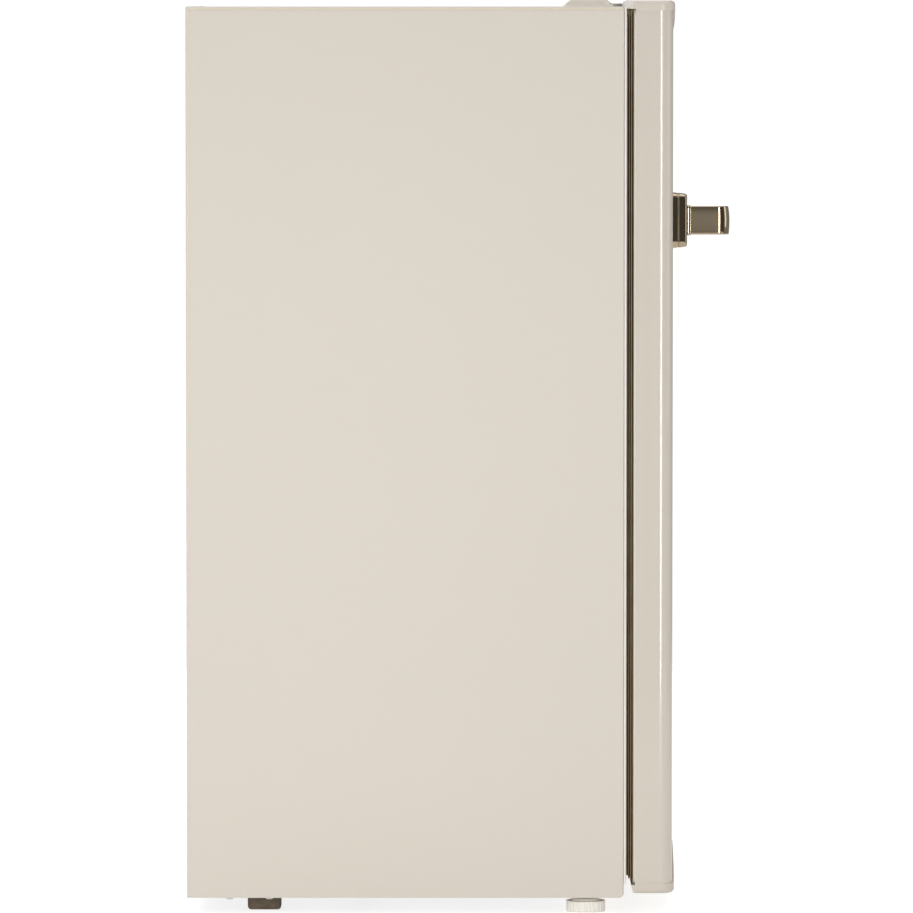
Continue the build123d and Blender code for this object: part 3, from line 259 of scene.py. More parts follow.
# from sideways (0) to straight out of the side (1): the pale walls, the dark flags, and the lit middle
MIRRORED_TONES = [(0.00, 0.30), (0.30, 0.30), (0.45, 0.075), (0.93, 0.075), (0.985, 0.32), (1.00, 0.34)]
world = bpy.data.worlds.new("pale_surround")
world.use_nodes = True
sky = world.node_tree
look = sky.nodes.new("ShaderNodeTexCoord")
look_parts = sky.nodes.new("ShaderNodeSeparateXYZ")
sky.links.new(look.outputs["Generated"], look_parts.inputs[0])
towards_side = math_node(sky, "MULTIPLY", look_parts.outputs["X"], -1.0)  # the side in view faces -X
tones = sky.nodes.new("ShaderNodeValToRGB")
for index, (position, tone) in enumerate(MIRRORED_TONES):
    stop = tones.color_ramp.elements[index] if index < 2 else tones.color_ramp.elements.new(position)
    stop.position = position
    stop.color = (tone, tone, tone, 1)
sky.links.new(towards_side, tones.inputs["Fac"])
unseen_light = switch(sky, "Is Glossy Ray", LIGHTING, tones.outputs["Color"])
sky.links.new(switch(sky, "Is Camera Ray", unseen_light, SEEN), sky.nodes["Background"].inputs["Strength"])
sky.nodes["Background"].inputs["Color"].default_value = (1.0, 1.0, 1.0, 1)
scene.world = world
scene.view_settings.view_transform = "Standard"
scene.view_settings.look = "None"
print("surround seen at", SEEN, "and lighting at", LIGHTING)

# %% [markdown]
# ## Cloud and grain
# No real paint or moulding is one even colour. Broad clouds a hand wide come from how the coat flowed, and a
# fine grain of about a millimetre is the orange peel of enamel or the spark texture of a mould. This group
# gives a colour that drifts a little, a roughness that drifts with it, and a height for the bump.

# %% Grain group
grain_group, grain_in, grain_out = new_group(
    "cloud_and_grain",
    [
        ("Color", COLOUR, (0.8, 0.8, 0.8, 1)), ("Shade", COLOUR, (0.6, 0.6, 0.6, 1)),
        ("Cloud Scale", FLOAT, 3.0), ("Grain Scale", FLOAT, 900.0), ("Drift", FLOAT, 0.15),
        ("Roughness", FLOAT, 0.4), ("Roughness Drift", FLOAT, 0.06),
    ],
    [("Color", COLOUR), ("Roughness", FLOAT), ("Height", FLOAT)],
)
CLOUD_WEIGHT = 0.75  # of the drift; the grain has the rest
cloud = noise_node(grain_group, grain_in.outputs["Cloud Scale"], 4.0)
grain = noise_node(grain_group, grain_in.outputs["Grain Scale"], 2.0)
cloud_share = spread(grain_group, cloud, 0.3, 0.7)
grain_share = spread(grain_group, grain, 0.35, 0.65)
both = math_node(
    grain_group, "ADD", math_node(grain_group, "MULTIPLY", cloud_share, CLOUD_WEIGHT),
    math_node(grain_group, "MULTIPLY", grain_share, 1 - CLOUD_WEIGHT),
)
drift = math_node(grain_group, "MULTIPLY", both, grain_in.outputs["Drift"], clamp=True)
drifted = mix_colour(grain_group, drift, grain_in.outputs["Color"], grain_in.outputs["Shade"])
centred = math_node(grain_group, "SUBTRACT", both, 0.5)
rough = math_node(
    grain_group, "ADD", grain_in.outputs["Roughness"],
    math_node(grain_group, "MULTIPLY", centred, grain_in.outputs["Roughness Drift"]), clamp=True,
)
grain_group.links.new(drifted, grain_out.inputs["Color"])
grain_group.links.new(rough, grain_out.inputs["Roughness"])
grain_group.links.new(grain, grain_out.inputs["Height"])
print("group", grain_group.name)

# %% [markdown]
# ## Edge wear
# Corners rub first. A bevel node looks up the surface's direction as if its edges were rounded: where that
# direction differs from the true one, there is an edge. Noise breaks the line up, so that the wear comes in
# patches. The group gives a mask, and each material decides what shows there: bare steel, or paler plastic.

# %% Edge group
edge_group, edge_in, edge_out = new_group(
    "edge_wear",
    [("Amount", FLOAT, 0.5), ("Patch Scale", FLOAT, 60.0)],
    [("Mask", FLOAT)],
)
WEAR_WIDTH = 1.6 * MM
bevel = edge_group.nodes.new("ShaderNodeBevel")
bevel.samples = 4
bevel.inputs["Radius"].default_value = WEAR_WIDTH
shape = edge_group.nodes.new("ShaderNodeNewGeometry")
turn = edge_group.nodes.new("ShaderNodeVectorMath")
turn.operation = "DOT_PRODUCT"
edge_group.links.new(bevel.outputs["Normal"], turn.inputs[0])
edge_group.links.new(shape.outputs["Normal"], turn.inputs[1])
edge_line = spread(edge_group, turn.outputs["Value"], 0.98, 0.80)
patches = spread(edge_group, noise_node(edge_group, edge_in.outputs["Patch Scale"], 5.0), 0.42, 0.66)
worn = math_node(edge_group, "MULTIPLY", edge_line, patches)
edge_group.links.new(
    math_node(edge_group, "MULTIPLY", worn, edge_in.outputs["Amount"], clamp=True), edge_out.inputs["Mask"]
)
print("group", edge_group.name)

# %% [markdown]
# ## Dust
# Dust settles on what faces up. The mask is the upward part of the surface's
# direction, broken by soft noise.

# %% Dust group
dust_group, dust_in, dust_out = new_group(
    "settled_dust",
    [("Amount", FLOAT, 0.2)],
    [("Mask", FLOAT)],
)
facing = dust_group.nodes.new("ShaderNodeNewGeometry")
parts = dust_group.nodes.new("ShaderNodeSeparateXYZ")
dust_group.links.new(facing.outputs["Normal"], parts.inputs[0])
upward = spread(dust_group, parts.outputs["Z"], 0.55, 1.0)
motes = spread(dust_group, noise_node(dust_group, 35.0, 6.0), 0.35, 0.75, 0.25, 1.0)
lying = math_node(dust_group, "MULTIPLY", upward, motes)
dust_group.links.new(
    math_node(dust_group, "MULTIPLY", lying, dust_in.outputs["Amount"], clamp=True), dust_out.inputs["Mask"]
)
print("group", dust_group.name)

# %% [markdown]
# ## Drawn lines
# Rolled, drawn or polished metal keeps fine lines along the way that it was worked. Noise stretched hard
# along one axis gives them. The group gives their height and a roughness that follows them.

# %% Line group
line_group, line_in, line_out = new_group(
    "drawn_lines",
    [
        ("Along", VECTOR, (1, 1, 1)), ("Scale", FLOAT, 400.0),
        ("Roughness", FLOAT, 0.3), ("Roughness Drift", FLOAT, 0.2),
    ],
    [("Height", FLOAT), ("Roughness", FLOAT)],
)
where = line_group.nodes.new("ShaderNodeTexCoord")
stretched = line_group.nodes.new("ShaderNodeVectorMath")
stretched.operation = "MULTIPLY"
line_group.links.new(where.outputs["Object"], stretched.inputs[0])
line_group.links.new(line_in.outputs["Along"], stretched.inputs[1])
lines = noise_node(line_group, line_in.outputs["Scale"], 2.0, stretched.outputs[0])
swing = math_node(line_group, "SUBTRACT", lines, 0.5)
line_rough = math_node(
    line_group, "ADD", line_in.outputs["Roughness"],
    math_node(line_group, "MULTIPLY", swing, line_in.outputs["Roughness Drift"]), clamp=True,
)
line_group.links.new(lines, line_out.inputs["Height"])
line_group.links.new(line_rough, line_out.inputs["Roughness"])
print("group", line_group.name)

# %% [markdown]
# ## Putting a finish together
# Every opaque finish is the same stack: the drifting base, the worn edges over it, and dust on top. The
# function places the three groups with this finish's own values, and joins them to one shader. What is the
# same all over, such as the coat or the metalness, is set straight on the shader.


# %% Opaque finishes
def place_group(tree, group, values):
    """A group in a material, with its values set; gives the node."""
    node = tree.nodes.new("ShaderNodeGroup")
    node.node_tree = group
    set_plain(node, values)
    return node


def add_bump(tree, shader, height, strength, distance):
    """A bump from a height, joined to the shader's normal."""
    bump = tree.nodes.new("ShaderNodeBump")
    set_plain(bump, {"Strength": strength, "Distance": distance})
    tree.links.new(height, bump.inputs["Height"])
    tree.links.new(bump.outputs["Normal"], shader.inputs["Normal"])


def opaque(
    name, colour, shade, roughness, cloud=3.0, grain=900.0, drift=0.2, rough_drift=0.08, worn=(0.7, 0.7, 0.7),
    wear=0.3, dust=0.1, bump=0.15, depth=0.1 * MM, lines=None, **plain,
):
    """A finish with drifting colour, worn edges, dust and a fine bump."""
    material, tree, shader = new_material(name)
    base = place_group(tree, grain_group, {
        "Color": (*colour, 1), "Shade": (*shade, 1), "Cloud Scale": cloud, "Grain Scale": grain, "Drift": drift,
        "Roughness": roughness, "Roughness Drift": rough_drift,
    })
    edges = place_group(tree, edge_group, {"Amount": wear})
    settled = place_group(tree, dust_group, {"Amount": dust})
    surface = mix_colour(tree, edges.outputs["Mask"], base.outputs["Color"], worn)
    surface = mix_colour(tree, settled.outputs["Mask"], surface, DUST_COLOUR)
    tree.links.new(surface, shader.inputs["Base Color"])
    roughness_now, height = base.outputs["Roughness"], base.outputs["Height"]
    if lines is not None:
        along, scale, line_drift = lines
        drawn = place_group(tree, line_group, {
            "Along": along, "Scale": scale, "Roughness": roughness, "Roughness Drift": line_drift,
        })
        roughness_now, height = drawn.outputs["Roughness"], drawn.outputs["Height"]
    dusty = math_node(tree, "MULTIPLY", settled.outputs["Mask"], 0.5)
    tree.links.new(math_node(tree, "ADD", roughness_now, dusty, clamp=True), shader.inputs["Roughness"])
    add_bump(tree, shader, height, bump, depth)
    set_plain(shader, plain)
    return material


DUST_COLOUR = (0.42, 0.39, 0.35)
CREAM = (0.662, 0.607, 0.527)
CREAM_SHADE = (0.628, 0.572, 0.489)
finishes = {}
finishes["cabinet_paint"] = opaque(
    "cabinet_enamel", CREAM, CREAM_SHADE, 0.36, cloud=2.2, grain=700, drift=0.35, worn=(0.56, 0.535, 0.49),
    wear=0.45, dust=0.08, bump=0.06, **{"Coat Weight": 0.25, "Coat Roughness": 0.12},
)
finishes["door_paint"] = opaque(
    "door_enamel", (0.630, 0.574, 0.492), CREAM_SHADE, 0.22, cloud=2.2, grain=700, drift=0.3,
    worn=(0.80, 0.76, 0.70), wear=0.25, dust=0.06, bump=0.05, **{"Coat Weight": 0.6, "Coat Roughness": 0.06},
)
finishes["cap_plastic"] = opaque(
    "cream_moulding", (0.626, 0.566, 0.483), CREAM_SHADE, 0.34, cloud=6, grain=1600, drift=0.3,
    worn=(0.82, 0.78, 0.72), wear=0.4, dust=0.12, bump=0.12, **{"Specular IOR Level": 0.5},
)
finishes["back_paint"] = opaque(
    "back_primer", (0.60, 0.57, 0.52), (0.48, 0.45, 0.41), 0.55, grain=500, drift=0.4, worn=(0.50, 0.50, 0.50),
    wear=0.6, dust=0.25, bump=0.2,
)
finishes["liner_plastic"] = opaque(
    "liner_moulding", (0.84, 0.79, 0.72), (0.76, 0.71, 0.63), 0.30, cloud=5, grain=1200, drift=0.25,
    worn=(0.86, 0.86, 0.84), wear=0.2, dust=0.03, bump=0.08, **{"Coat Weight": 0.15},
)
finishes["foot_plastic"] = opaque(
    "ivory_nylon", (0.96, 0.925, 0.86), (0.86, 0.82, 0.75), 0.45, cloud=20, grain=2500, drift=0.4,
    worn=(0.86, 0.84, 0.80), wear=0.4, dust=0.3, bump=0.15,
)
finishes["foot_rubber"] = opaque(
    "brown_rubber", (0.170, 0.128, 0.080), (0.055, 0.040, 0.022), 0.6, cloud=130, grain=1200, drift=0.75,
    worn=(0.30, 0.25, 0.18), wear=0.7, dust=0.25, bump=0.4,
)
finishes["black_rubber"] = opaque(
    "black_rubber", (0.030, 0.030, 0.030), (0.018, 0.018, 0.018), 0.6, cloud=25, grain=3000, drift=0.5,
    worn=(0.10, 0.10, 0.10), wear=0.5, dust=0.3, bump=0.3,
)
finishes["black_plastic"] = opaque(
    "black_moulding", (0.040, 0.040, 0.042), (0.026, 0.026, 0.026), 0.45, cloud=15, grain=2200, drift=0.5,
    worn=(0.12, 0.12, 0.12), wear=0.4, dust=0.3, bump=0.3,
)
finishes["compressor_black"] = opaque(
    "stoved_black", (0.022, 0.022, 0.024), (0.040, 0.036, 0.032), 0.30, cloud=12, grain=500, drift=0.5,
    worn=(0.24, 0.20, 0.16), wear=0.6, dust=0.35, bump=0.3, **{"Coat Weight": 0.5, "Coat Roughness": 0.15},
)
finishes["base_screw"] = opaque(
    "painted_screw", (0.70, 0.65, 0.57), (0.60, 0.56, 0.50), 0.4, cloud=60, grain=3000, drift=0.4, wear=0.8,
    worn=(0.45, 0.45, 0.44), dust=0.1, bump=0.2,
)
finishes["bush_plastic"] = opaque(
    "natural_acetal", (0.76, 0.75, 0.70), (0.64, 0.63, 0.58), 0.38, cloud=30, grain=2600, drift=0.3, wear=0.3,
    worn=(0.84, 0.83, 0.80), dust=0.15, bump=0.15,
)
finishes["dial_plastic"] = opaque(
    "grey_moulding", (0.50, 0.50, 0.49), (0.42, 0.42, 0.41), 0.32, cloud=20, grain=2200, drift=0.3, wear=0.4,
    worn=(0.70, 0.70, 0.68), dust=0.05, bump=0.2,
)
finishes["trim_plastic"] = opaque(
    "white_moulding", (0.82, 0.82, 0.80), (0.74, 0.74, 0.71), 0.28, cloud=8, grain=1800, drift=0.25, wear=0.3,
    worn=(0.88, 0.88, 0.86), dust=0.05, bump=0.1,
)
finishes["gasket_rubber"] = opaque(
    "seal_vinyl", (0.38, 0.295, 0.175), (0.28, 0.21, 0.120), 0.6, cloud=18, grain=2400, drift=0.5, wear=0.3,
    worn=(0.52, 0.48, 0.40), dust=0.12, bump=0.25, **{"Specular IOR Level": 0.2},
)
finishes["magnet"] = opaque(
    "ferrite_strip", (0.05, 0.05, 0.05), (0.03, 0.03, 0.03), 0.6, cloud=20, grain=2500, drift=0.4, wear=0.2,
    dust=0.1,
)
finishes["foam"] = opaque(
    "blown_foam", (0.80, 0.68, 0.40), (0.66, 0.53, 0.28), 0.8, cloud=14, grain=420, drift=0.7, wear=0.1,
    worn=(0.86, 0.76, 0.52), dust=0.1, bump=0.8, depth=0.8 * MM,
)
print("opaque finishes", len(finishes))

# %% [markdown]
# ## Metals
# Metals differ in how they were worked. Zinc plate is bright with short rubbed lines, the evaporator is soft
# rolled aluminium, copper dulls brown in patches, and the handle is plated and polished until it mirrors the
# room. Their metalness is one plain number on the shader.

# %% Metal finishes
finishes["zinc_steel"] = opaque(
    "zinc_plate", (0.62, 0.62, 0.60), (0.48, 0.48, 0.45), 0.34, cloud=40, grain=900, drift=0.5, wear=0.4,
    worn=(0.72, 0.72, 0.72), dust=0.15, bump=0.1, lines=((1, 8, 8), 260.0, 0.25), **{"Metallic": 1.0},
)
finishes["copper"] = opaque(
    "dulled_copper", (0.66, 0.36, 0.22), (0.36, 0.20, 0.13), 0.32, cloud=28, grain=700, drift=0.8, wear=0.2,
    worn=(0.80, 0.50, 0.34), dust=0.2, bump=0.12, **{"Metallic": 1.0},
)
finishes["evaporator_aluminium"] = opaque(
    "rolled_aluminium", (0.80, 0.81, 0.82), (0.68, 0.69, 0.71), 0.40, cloud=10, grain=800, drift=0.4, wear=0.3,
    worn=(0.88, 0.88, 0.90), dust=0.05, bump=0.12, lines=((8, 1, 8), 200.0, 0.25), **{"Metallic": 0.6},
)
finishes["handle_chrome"] = opaque(
    "polished_nickel", (0.52, 0.422, 0.290), (0.43, 0.345, 0.235), 0.09, cloud=22, grain=1500, drift=0.4, wear=0.3,
    worn=(0.66, 0.63, 0.58), dust=0.06, bump=0.04, lines=((9, 9, 1), 300.0, 0.10), **{"Metallic": 1.0},
)
print("worked metals ready")

# %% [markdown]
# ## Galvanised sheet
# Zinc freezes on the steel in crystals, each at its own angle, so the sheet is a mosaic of grey patches. A
# Voronoi texture has the same make-up: its cells give each patch one tone, which changes the colour and the
# roughness together.

# %% Galvanised finish
galvanised = opaque(
    "galvanised_sheet", (0.56, 0.57, 0.57), (0.44, 0.45, 0.45), 0.42, cloud=9, grain=700, drift=0.4, wear=0.3,
    worn=(0.70, 0.70, 0.70), dust=0.3, bump=0.1, **{"Metallic": 0.9},
)
CRYSTALS_PER_METRE = 85.0
CRYSTAL_GREY = (0.36, 0.37, 0.38)
sheet_tree = galvanised.node_tree
sheet_shader = sheet_tree.nodes["Principled BSDF"]
crystals = sheet_tree.nodes.new("ShaderNodeTexVoronoi")
crystals.inputs["Scale"].default_value = CRYSTALS_PER_METRE
sheet_place = sheet_tree.nodes.new("ShaderNodeTexCoord")
sheet_tree.links.new(sheet_place.outputs["Object"], crystals.inputs["Vector"])
crystal_tone = sheet_tree.nodes.new("ShaderNodeSeparateColor")
sheet_tree.links.new(crystals.outputs["Color"], crystal_tone.inputs[0])
under = sheet_shader.inputs["Base Color"].links[0].from_socket
greyed = math_node(sheet_tree, "MULTIPLY", crystal_tone.outputs[0], 0.4)
spangled = mix_colour(sheet_tree, greyed, under, CRYSTAL_GREY)
crystal_rough = spread(sheet_tree, crystal_tone.outputs[1], 0.0, 1.0, 0.30, 0.55)
sheet_tree.links.new(spangled, sheet_shader.inputs["Base Color"])
sheet_tree.links.new(crystal_rough, sheet_shader.inputs["Roughness"])
finishes["galvanised"] = galvanised
print("galvanised sheet ready")

# %% [markdown]
# ## Clear parts
# Shelves are float glass with a green cast, and the bins and drawer are moulded polystyrene. Both keep a plain
# transmission weight. What makes them look real is the surface: faint flow lines and a haze where they are
# handled, so the roughness and the bump vary while the clarity doesn't. The drip tray and the freezer flap are
# frosted: they let through some light, but hide what is behind them.


# %% Clear finishes
def clear(name, colour, roughness, haze, ior, bump, scale, clarity):
    """A see-through finish with a faint haze and moulding flow lines, and no dust or wear."""
    material, tree, shader = new_material(name)
    shade = [channel * 0.9 for channel in colour]
    base = place_group(tree, grain_group, {
        "Color": (*colour, 1), "Shade": (*shade, 1), "Cloud Scale": scale, "Grain Scale": 600.0, "Drift": 0.3,
        "Roughness": roughness, "Roughness Drift": haze,
    })
    tree.links.new(base.outputs["Color"], shader.inputs["Base Color"])
    tree.links.new(base.outputs["Roughness"], shader.inputs["Roughness"])
    add_bump(tree, shader, base.outputs["Height"], bump, 0.1 * MM)
    set_plain(shader, {"Transmission Weight": clarity, "IOR": ior})
    return material


finishes["shelf_glass"] = clear(
    "float_glass", (0.82, 0.93, 0.88), roughness=0.03, haze=0.05, ior=1.5, bump=0.02, scale=12.0, clarity=0.92,
)
finishes["clear_plastic"] = clear(
    "clear_polystyrene", (0.95, 0.965, 0.97), roughness=0.08, haze=0.12, ior=1.45, bump=0.08, scale=18.0,
    clarity=0.86,
)
finishes["tray_plastic"] = opaque(
    "frosted_polystyrene", (0.80, 0.83, 0.84), (0.72, 0.76, 0.78), 0.32, cloud=7, grain=1500, drift=0.3, wear=0.2,
    worn=(0.88, 0.90, 0.90), dust=0.03, bump=0.15, **{"Transmission Weight": 0.3},
)
finishes["flap_plastic"] = opaque(
    "frosted_flap", (0.78, 0.81, 0.82), (0.70, 0.74, 0.76), 0.35, cloud=9, grain=1500, drift=0.3, wear=0.2,
    worn=(0.86, 0.88, 0.88), dust=0.03, bump=0.2, **{"Transmission Weight": 0.25},
)
print("clear finishes ready")

# %% [markdown]
# ## Giving the parts their finishes
# The record names a material slot for each part, so one loop dresses them all. The parts stay where the frame
# put them; only what is in their material slots changes.

# %% Dress the parts
for entry in frame["record"]["subparts"]:
    part = nodes[entry["node"]]
    part.data.materials.clear()
    part.data.materials.append(finishes[entry["material_slot"]])

# %% [markdown]
# ## The folded door seal
# A fridge seal is a soft vinyl extrusion, mitred and welded into a frame. Its section is a bellows: a base lip
# pushed into the door, two thin folds that let it stretch, and a chamber with the magnet against the cabinet.
# The CAD holds only its outline. Sweeping the true section round a rectangle gives the lines that the folds make
# in the gap, and keeps the sharp mitres at the corners. The insides of the folds get a near black finish: old
# dirt, and painted shade.


# %% Mesh helpers
def new_piece(name, shape, body, slot, smooth_angle=None, stands_for=None):
    """An object from bmesh data, riding on a body in a slot's finish, and smooth up to an angle in degrees."""
    bmesh.ops.recalc_face_normals(shape, faces=shape.faces)
    mesh = bpy.data.meshes.new(name)
    shape.to_mesh(mesh)
    shape.free()
    if smooth_angle is not None:
        mesh.shade_smooth()
        mesh.set_sharp_from_angle(angle=radians(smooth_angle))
    piece = in_scene(name, mesh)
    mesh.materials.append(finishes[slot])
    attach(piece, body)
    if stands_for:
        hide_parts(stands_for)
    return piece


def bridge(shape, first, second):
    """Faces between two rings with the same number of points."""
    count = len(first)
    for i in range(count):
        j = (i + 1) % count
        shape.faces.new((first[i], first[j], second[j], second[i]))


def tube(shape, rings):
    """A skin over rings in their order, with its two ends capped."""
    for ring, following in zip(rings, rings[1:]):
        bridge(shape, ring, following)
    shape.faces.new(rings[0])
    shape.faces.new(rings[-1])


def frame_skin(shape, rings):
    """A skin over rings in their order, and on from the last ring to the first."""
    for ring, following in zip(rings, rings[1:] + rings[:1]):
        bridge(shape, ring, following)


def mitred_ring(shape, low, high, inset, y):
    """The corners of an upright rectangle at depth y, drawn in from its low and high corners."""
    left, right, bottom, top = low.x + inset, high.x - inset, low.z + inset, high.z - inset
    corners = ((left, bottom), (right, bottom), (right, top), (left, top))
    return [shape.verts.new((x, y, z)) for x, z in corners]


def cushion_ring(shape, centre, half_x, half_z, corner, y, steps=8):
    """A ring of points on an upright rounded rectangle at depth y."""
    ring = []
    for quarter, (sx, sz) in enumerate(((1, 1), (-1, 1), (-1, -1), (1, -1))):
        for step in range(steps + 1):
            turn = radians(90 * (quarter + step / steps))
            ring.append(shape.verts.new((
                centre[0] + sx * (half_x - corner) + corner * cos(turn), y,
                centre[1] + sz * (half_z - corner) + corner * sin(turn),
            )))
    return ring


print("mesh helpers ready")

# %% Door seal
seal_low, seal_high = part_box("door_gasket")
# each point is how far in from the seal's outer edge, and the share of its depth from the door to the cabinet
SEAL_SECTION = [
    (0.0, 0.00), (0.6, 0.10), (4.6, 0.16), (4.9, 0.24), (1.6, 0.32), (1.5, 0.42), (6.4, 0.48), (6.6, 0.56),
    (4.0, 0.63), (4.1, 0.72), (8.2, 0.78), (7.4, 0.88), (7.0, 1.00), (23.0, 1.00), (24.0, 0.90), (24.0, 0.0),
]
SEAL_GROOVES = (2, 3, 6, 7, 10)  # the strips of the section that lie inside a fold
seal_depth = seal_high.y - seal_low.y
seal_shape = bmesh.new()
frame_skin(seal_shape, [
    mitred_ring(seal_shape, seal_low, seal_high, inset * MM, seal_low.y + share * seal_depth)
    for inset, share in SEAL_SECTION
])
door_seal = new_piece("door_seal", seal_shape, "door", "gasket_rubber", stands_for="door_gasket")
# the insides of the folds are painted near black: old dirt that no cloth reaches, and painted shade where the
# folds close up
door_seal.data.materials.append(opaque(
    "seal_fold_dirt_and_shade", (0.050, 0.030, 0.008), (0.034, 0.021, 0.006), 0.7, cloud=18, grain=2400, drift=0.5,
    wear=0.1, dust=0.05, bump=0.25, **{"Specular IOR Level": 0.1},
))
for index, face in enumerate(door_seal.data.polygons):
    if index // 4 in SEAL_GROOVES:  # each strip is four faces, one for each side of the door
        face.material_index = 1
print("seal section", len(SEAL_SECTION), "points, depth", round(seal_depth / MM, 1), "mm")

# %% [markdown]
# ## The front lip
# The liner is snapped over the front of the cabinet, and its rim shows beside the seal as a bright line with a
# dark joint behind it. A small section with a rounded front is swept round the same rectangle as the cabinet.

# %% Front lip
# each point is how far in from the side of the cabinet, and how far in front of it
LIP_SECTION = [(0.7, 0.05), (0.7, 0.35), (0.2, 0.45), (0.15, 1.5), (0.5, 1.9), (6.0, 1.95), (6.0, 0.05)]
LIP_LOW_EDGE = 12 * MM  # the rim stops above the toe of the cabinet, where the door ends
lip_low = shell_low + Vector((0, 0, LIP_LOW_EDGE))
lip_shape = bmesh.new()
frame_skin(lip_shape, [
    mitred_ring(lip_shape, lip_low, shell_high, inset * MM, shell_low.y - forward * MM)
    for inset, forward in LIP_SECTION
])
new_piece("front_lip", lip_shape, "cabinet", "liner_plastic", 40)
print("front lip", len(LIP_SECTION), "points; cabinet front at", round(shell_low.y / MM, 1), "mm")

# %% [markdown]
# ## The rear hem
# The steel wrapper is folded back on itself along its rear edge, so that no raw edge shows. From the side it is
# a fine raised line. A low section runs up one side, over the top and down the other side.

# %% Rear hem
# each point is how far forward of the rear edge, and how far out from the wrapper's face
HEM_SECTION = [
    (2.5, -0.5), (2.5, -0.02), (2.2, 0.16), (1.7, 0.30), (1.0, 0.33), (0.4, 0.22), (0.0, -0.05), (0.0, -0.5),
]
hem_shape = bmesh.new()
hem_rings = []
for sx, at_top in ((-1, False), (-1, True), (1, True), (1, False)):
    ring = []
    for forward, out in HEM_SECTION:
        x = sx * (shell_high.x + out * MM)
        z = shell_high.z + out * MM if at_top else shell_low.z
        ring.append(hem_shape.verts.new((x, shell_high.y - forward * MM, z)))
    hem_rings.append(ring)
tube(hem_shape, hem_rings)
new_piece("rear_hem", hem_shape, "cabinet", "cabinet_paint", 40)
print("rear hem stands", max(out for _, out in HEM_SECTION), "mm proud")

# %% [markdown]
# ## The plated handle
# The handle is a die casting: a cushion-shaped boss in two steps, a thin collar, and a flat bar that turns
# through a tight bend and narrows to a rounded end. A casting has no knife edges, so the shapes are swept and
# bevelled, and the bevel catches the light in the thin lines that make plating look like plating.


# %% Handle boss
boss_low, boss_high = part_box("handle_base")
CASTING_RISE = 0.8 * MM  # the casting sits a touch higher than its plain stand-in,
CASTING_MORE = 0.5 * MM  # and reaches this much further up and down
BOSS_CORNER = 7 * MM
BOSS_LEAST_CORNER = 1 * MM
BOSS_END_SHARE = 0.4  # its top and bottom draw in less than its sides
boss_centre = ((boss_low.x + boss_high.x) / 2, (boss_low.z + boss_high.z) / 2 + CASTING_RISE)
boss_half = ((boss_high.x - boss_low.x) / 2, (boss_high.z - boss_low.z) / 2 + CASTING_MORE)
boss_depth = boss_high.y - boss_low.y
# each point is how far in from the boss's outline, and the share of its depth from the door forwards
BOSS_SECTION = [
    (0.0, 0.00), (1.3, 0.33), (1.6, 0.36), (2.1, 0.375), (2.1, 0.41), (1.6, 0.42), (1.35, 0.45),
    (2.7, 0.80), (3.3, 0.90), (4.6, 0.97), (6.5, 0.99), (9.0, 1.0),
]
boss_shape = bmesh.new()
boss_rings = []
for inset_mm, share in BOSS_SECTION:
    inset = inset_mm * MM
    boss_rings.append(cushion_ring(
        boss_shape, boss_centre, boss_half[0] - inset, boss_half[1] - inset * BOSS_END_SHARE,
        max(BOSS_CORNER - inset * 0.6, BOSS_LEAST_CORNER), boss_high.y - share * boss_depth,
    ))
tube(boss_shape, boss_rings)
new_piece("handle_boss", boss_shape, "door", "handle_chrome", 32, "handle_base")
print("boss", [round(2 * v / MM, 1) for v in boss_half], "mm")

# %% Handle bar
bar_low, bar_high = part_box("handle_lever")
STEM_THICK = 12 * MM
BAR_THICK = 10 * MM
STEM_HALF = 13 * MM  # half the stem's height
END_HALF = 9 * MM  # half the bar's height at its end
CROWN_ABOVE, CROWN_BELOW = 1.15 * MM, 0.65 * MM  # how far the faces fall away from their middle
CORNER = 0.8 * MM
BEND_OUTER, BEND_INNER = 11 * MM, 2.2 * MM
BEND_STEPS = 12
BAR_STEPS = 10
END_ROUND = 4 * MM
COLLAR_PAST = 1.5 * MM  # how far the collar stands out past the stem
bar_middle = boss_centre[1]
stem_x = bar_low.x + COLLAR_PAST
root_y, front_y = bar_high.y, bar_low.y
# stations along the bar: (outer point, inner point, half height), first up the stem, round the bend, then along
stations = [((stem_x, root_y), (stem_x + STEM_THICK, root_y), STEM_HALF)]
outer_centre = (stem_x + BEND_OUTER, front_y + BEND_OUTER)
inner_centre = (stem_x + STEM_THICK + BEND_INNER, front_y + BAR_THICK + BEND_INNER)
for step in range(BEND_STEPS + 1):
    turn = radians(180 + 90 * step / BEND_STEPS)
    outer, inner = [
        (centre[0] + radius * cos(turn), centre[1] + radius * sin(turn))
        for centre, radius in ((outer_centre, BEND_OUTER), (inner_centre, BEND_INNER))
    ]
    stations.append((outer, inner, STEM_HALF))
bar_start = stem_x + STEM_THICK + 2 * BEND_INNER
for step in range(1, BAR_STEPS + 1):
    share = step / BAR_STEPS
    x = bar_start + share * (bar_high.x - END_ROUND - bar_start)
    half = STEM_HALF + share * (END_HALF - STEM_HALF)
    stations.append(((x, front_y), (x, front_y + BAR_THICK), half))
for turn_degrees in (30, 60, 82):
    turn = radians(turn_degrees)
    x = bar_high.x - END_ROUND + END_ROUND * sin(turn)
    draw_in = END_ROUND * (1 - cos(turn))
    stations.append(((x, front_y + draw_in), (x, front_y + BAR_THICK - draw_in), END_HALF - draw_in * 0.5))


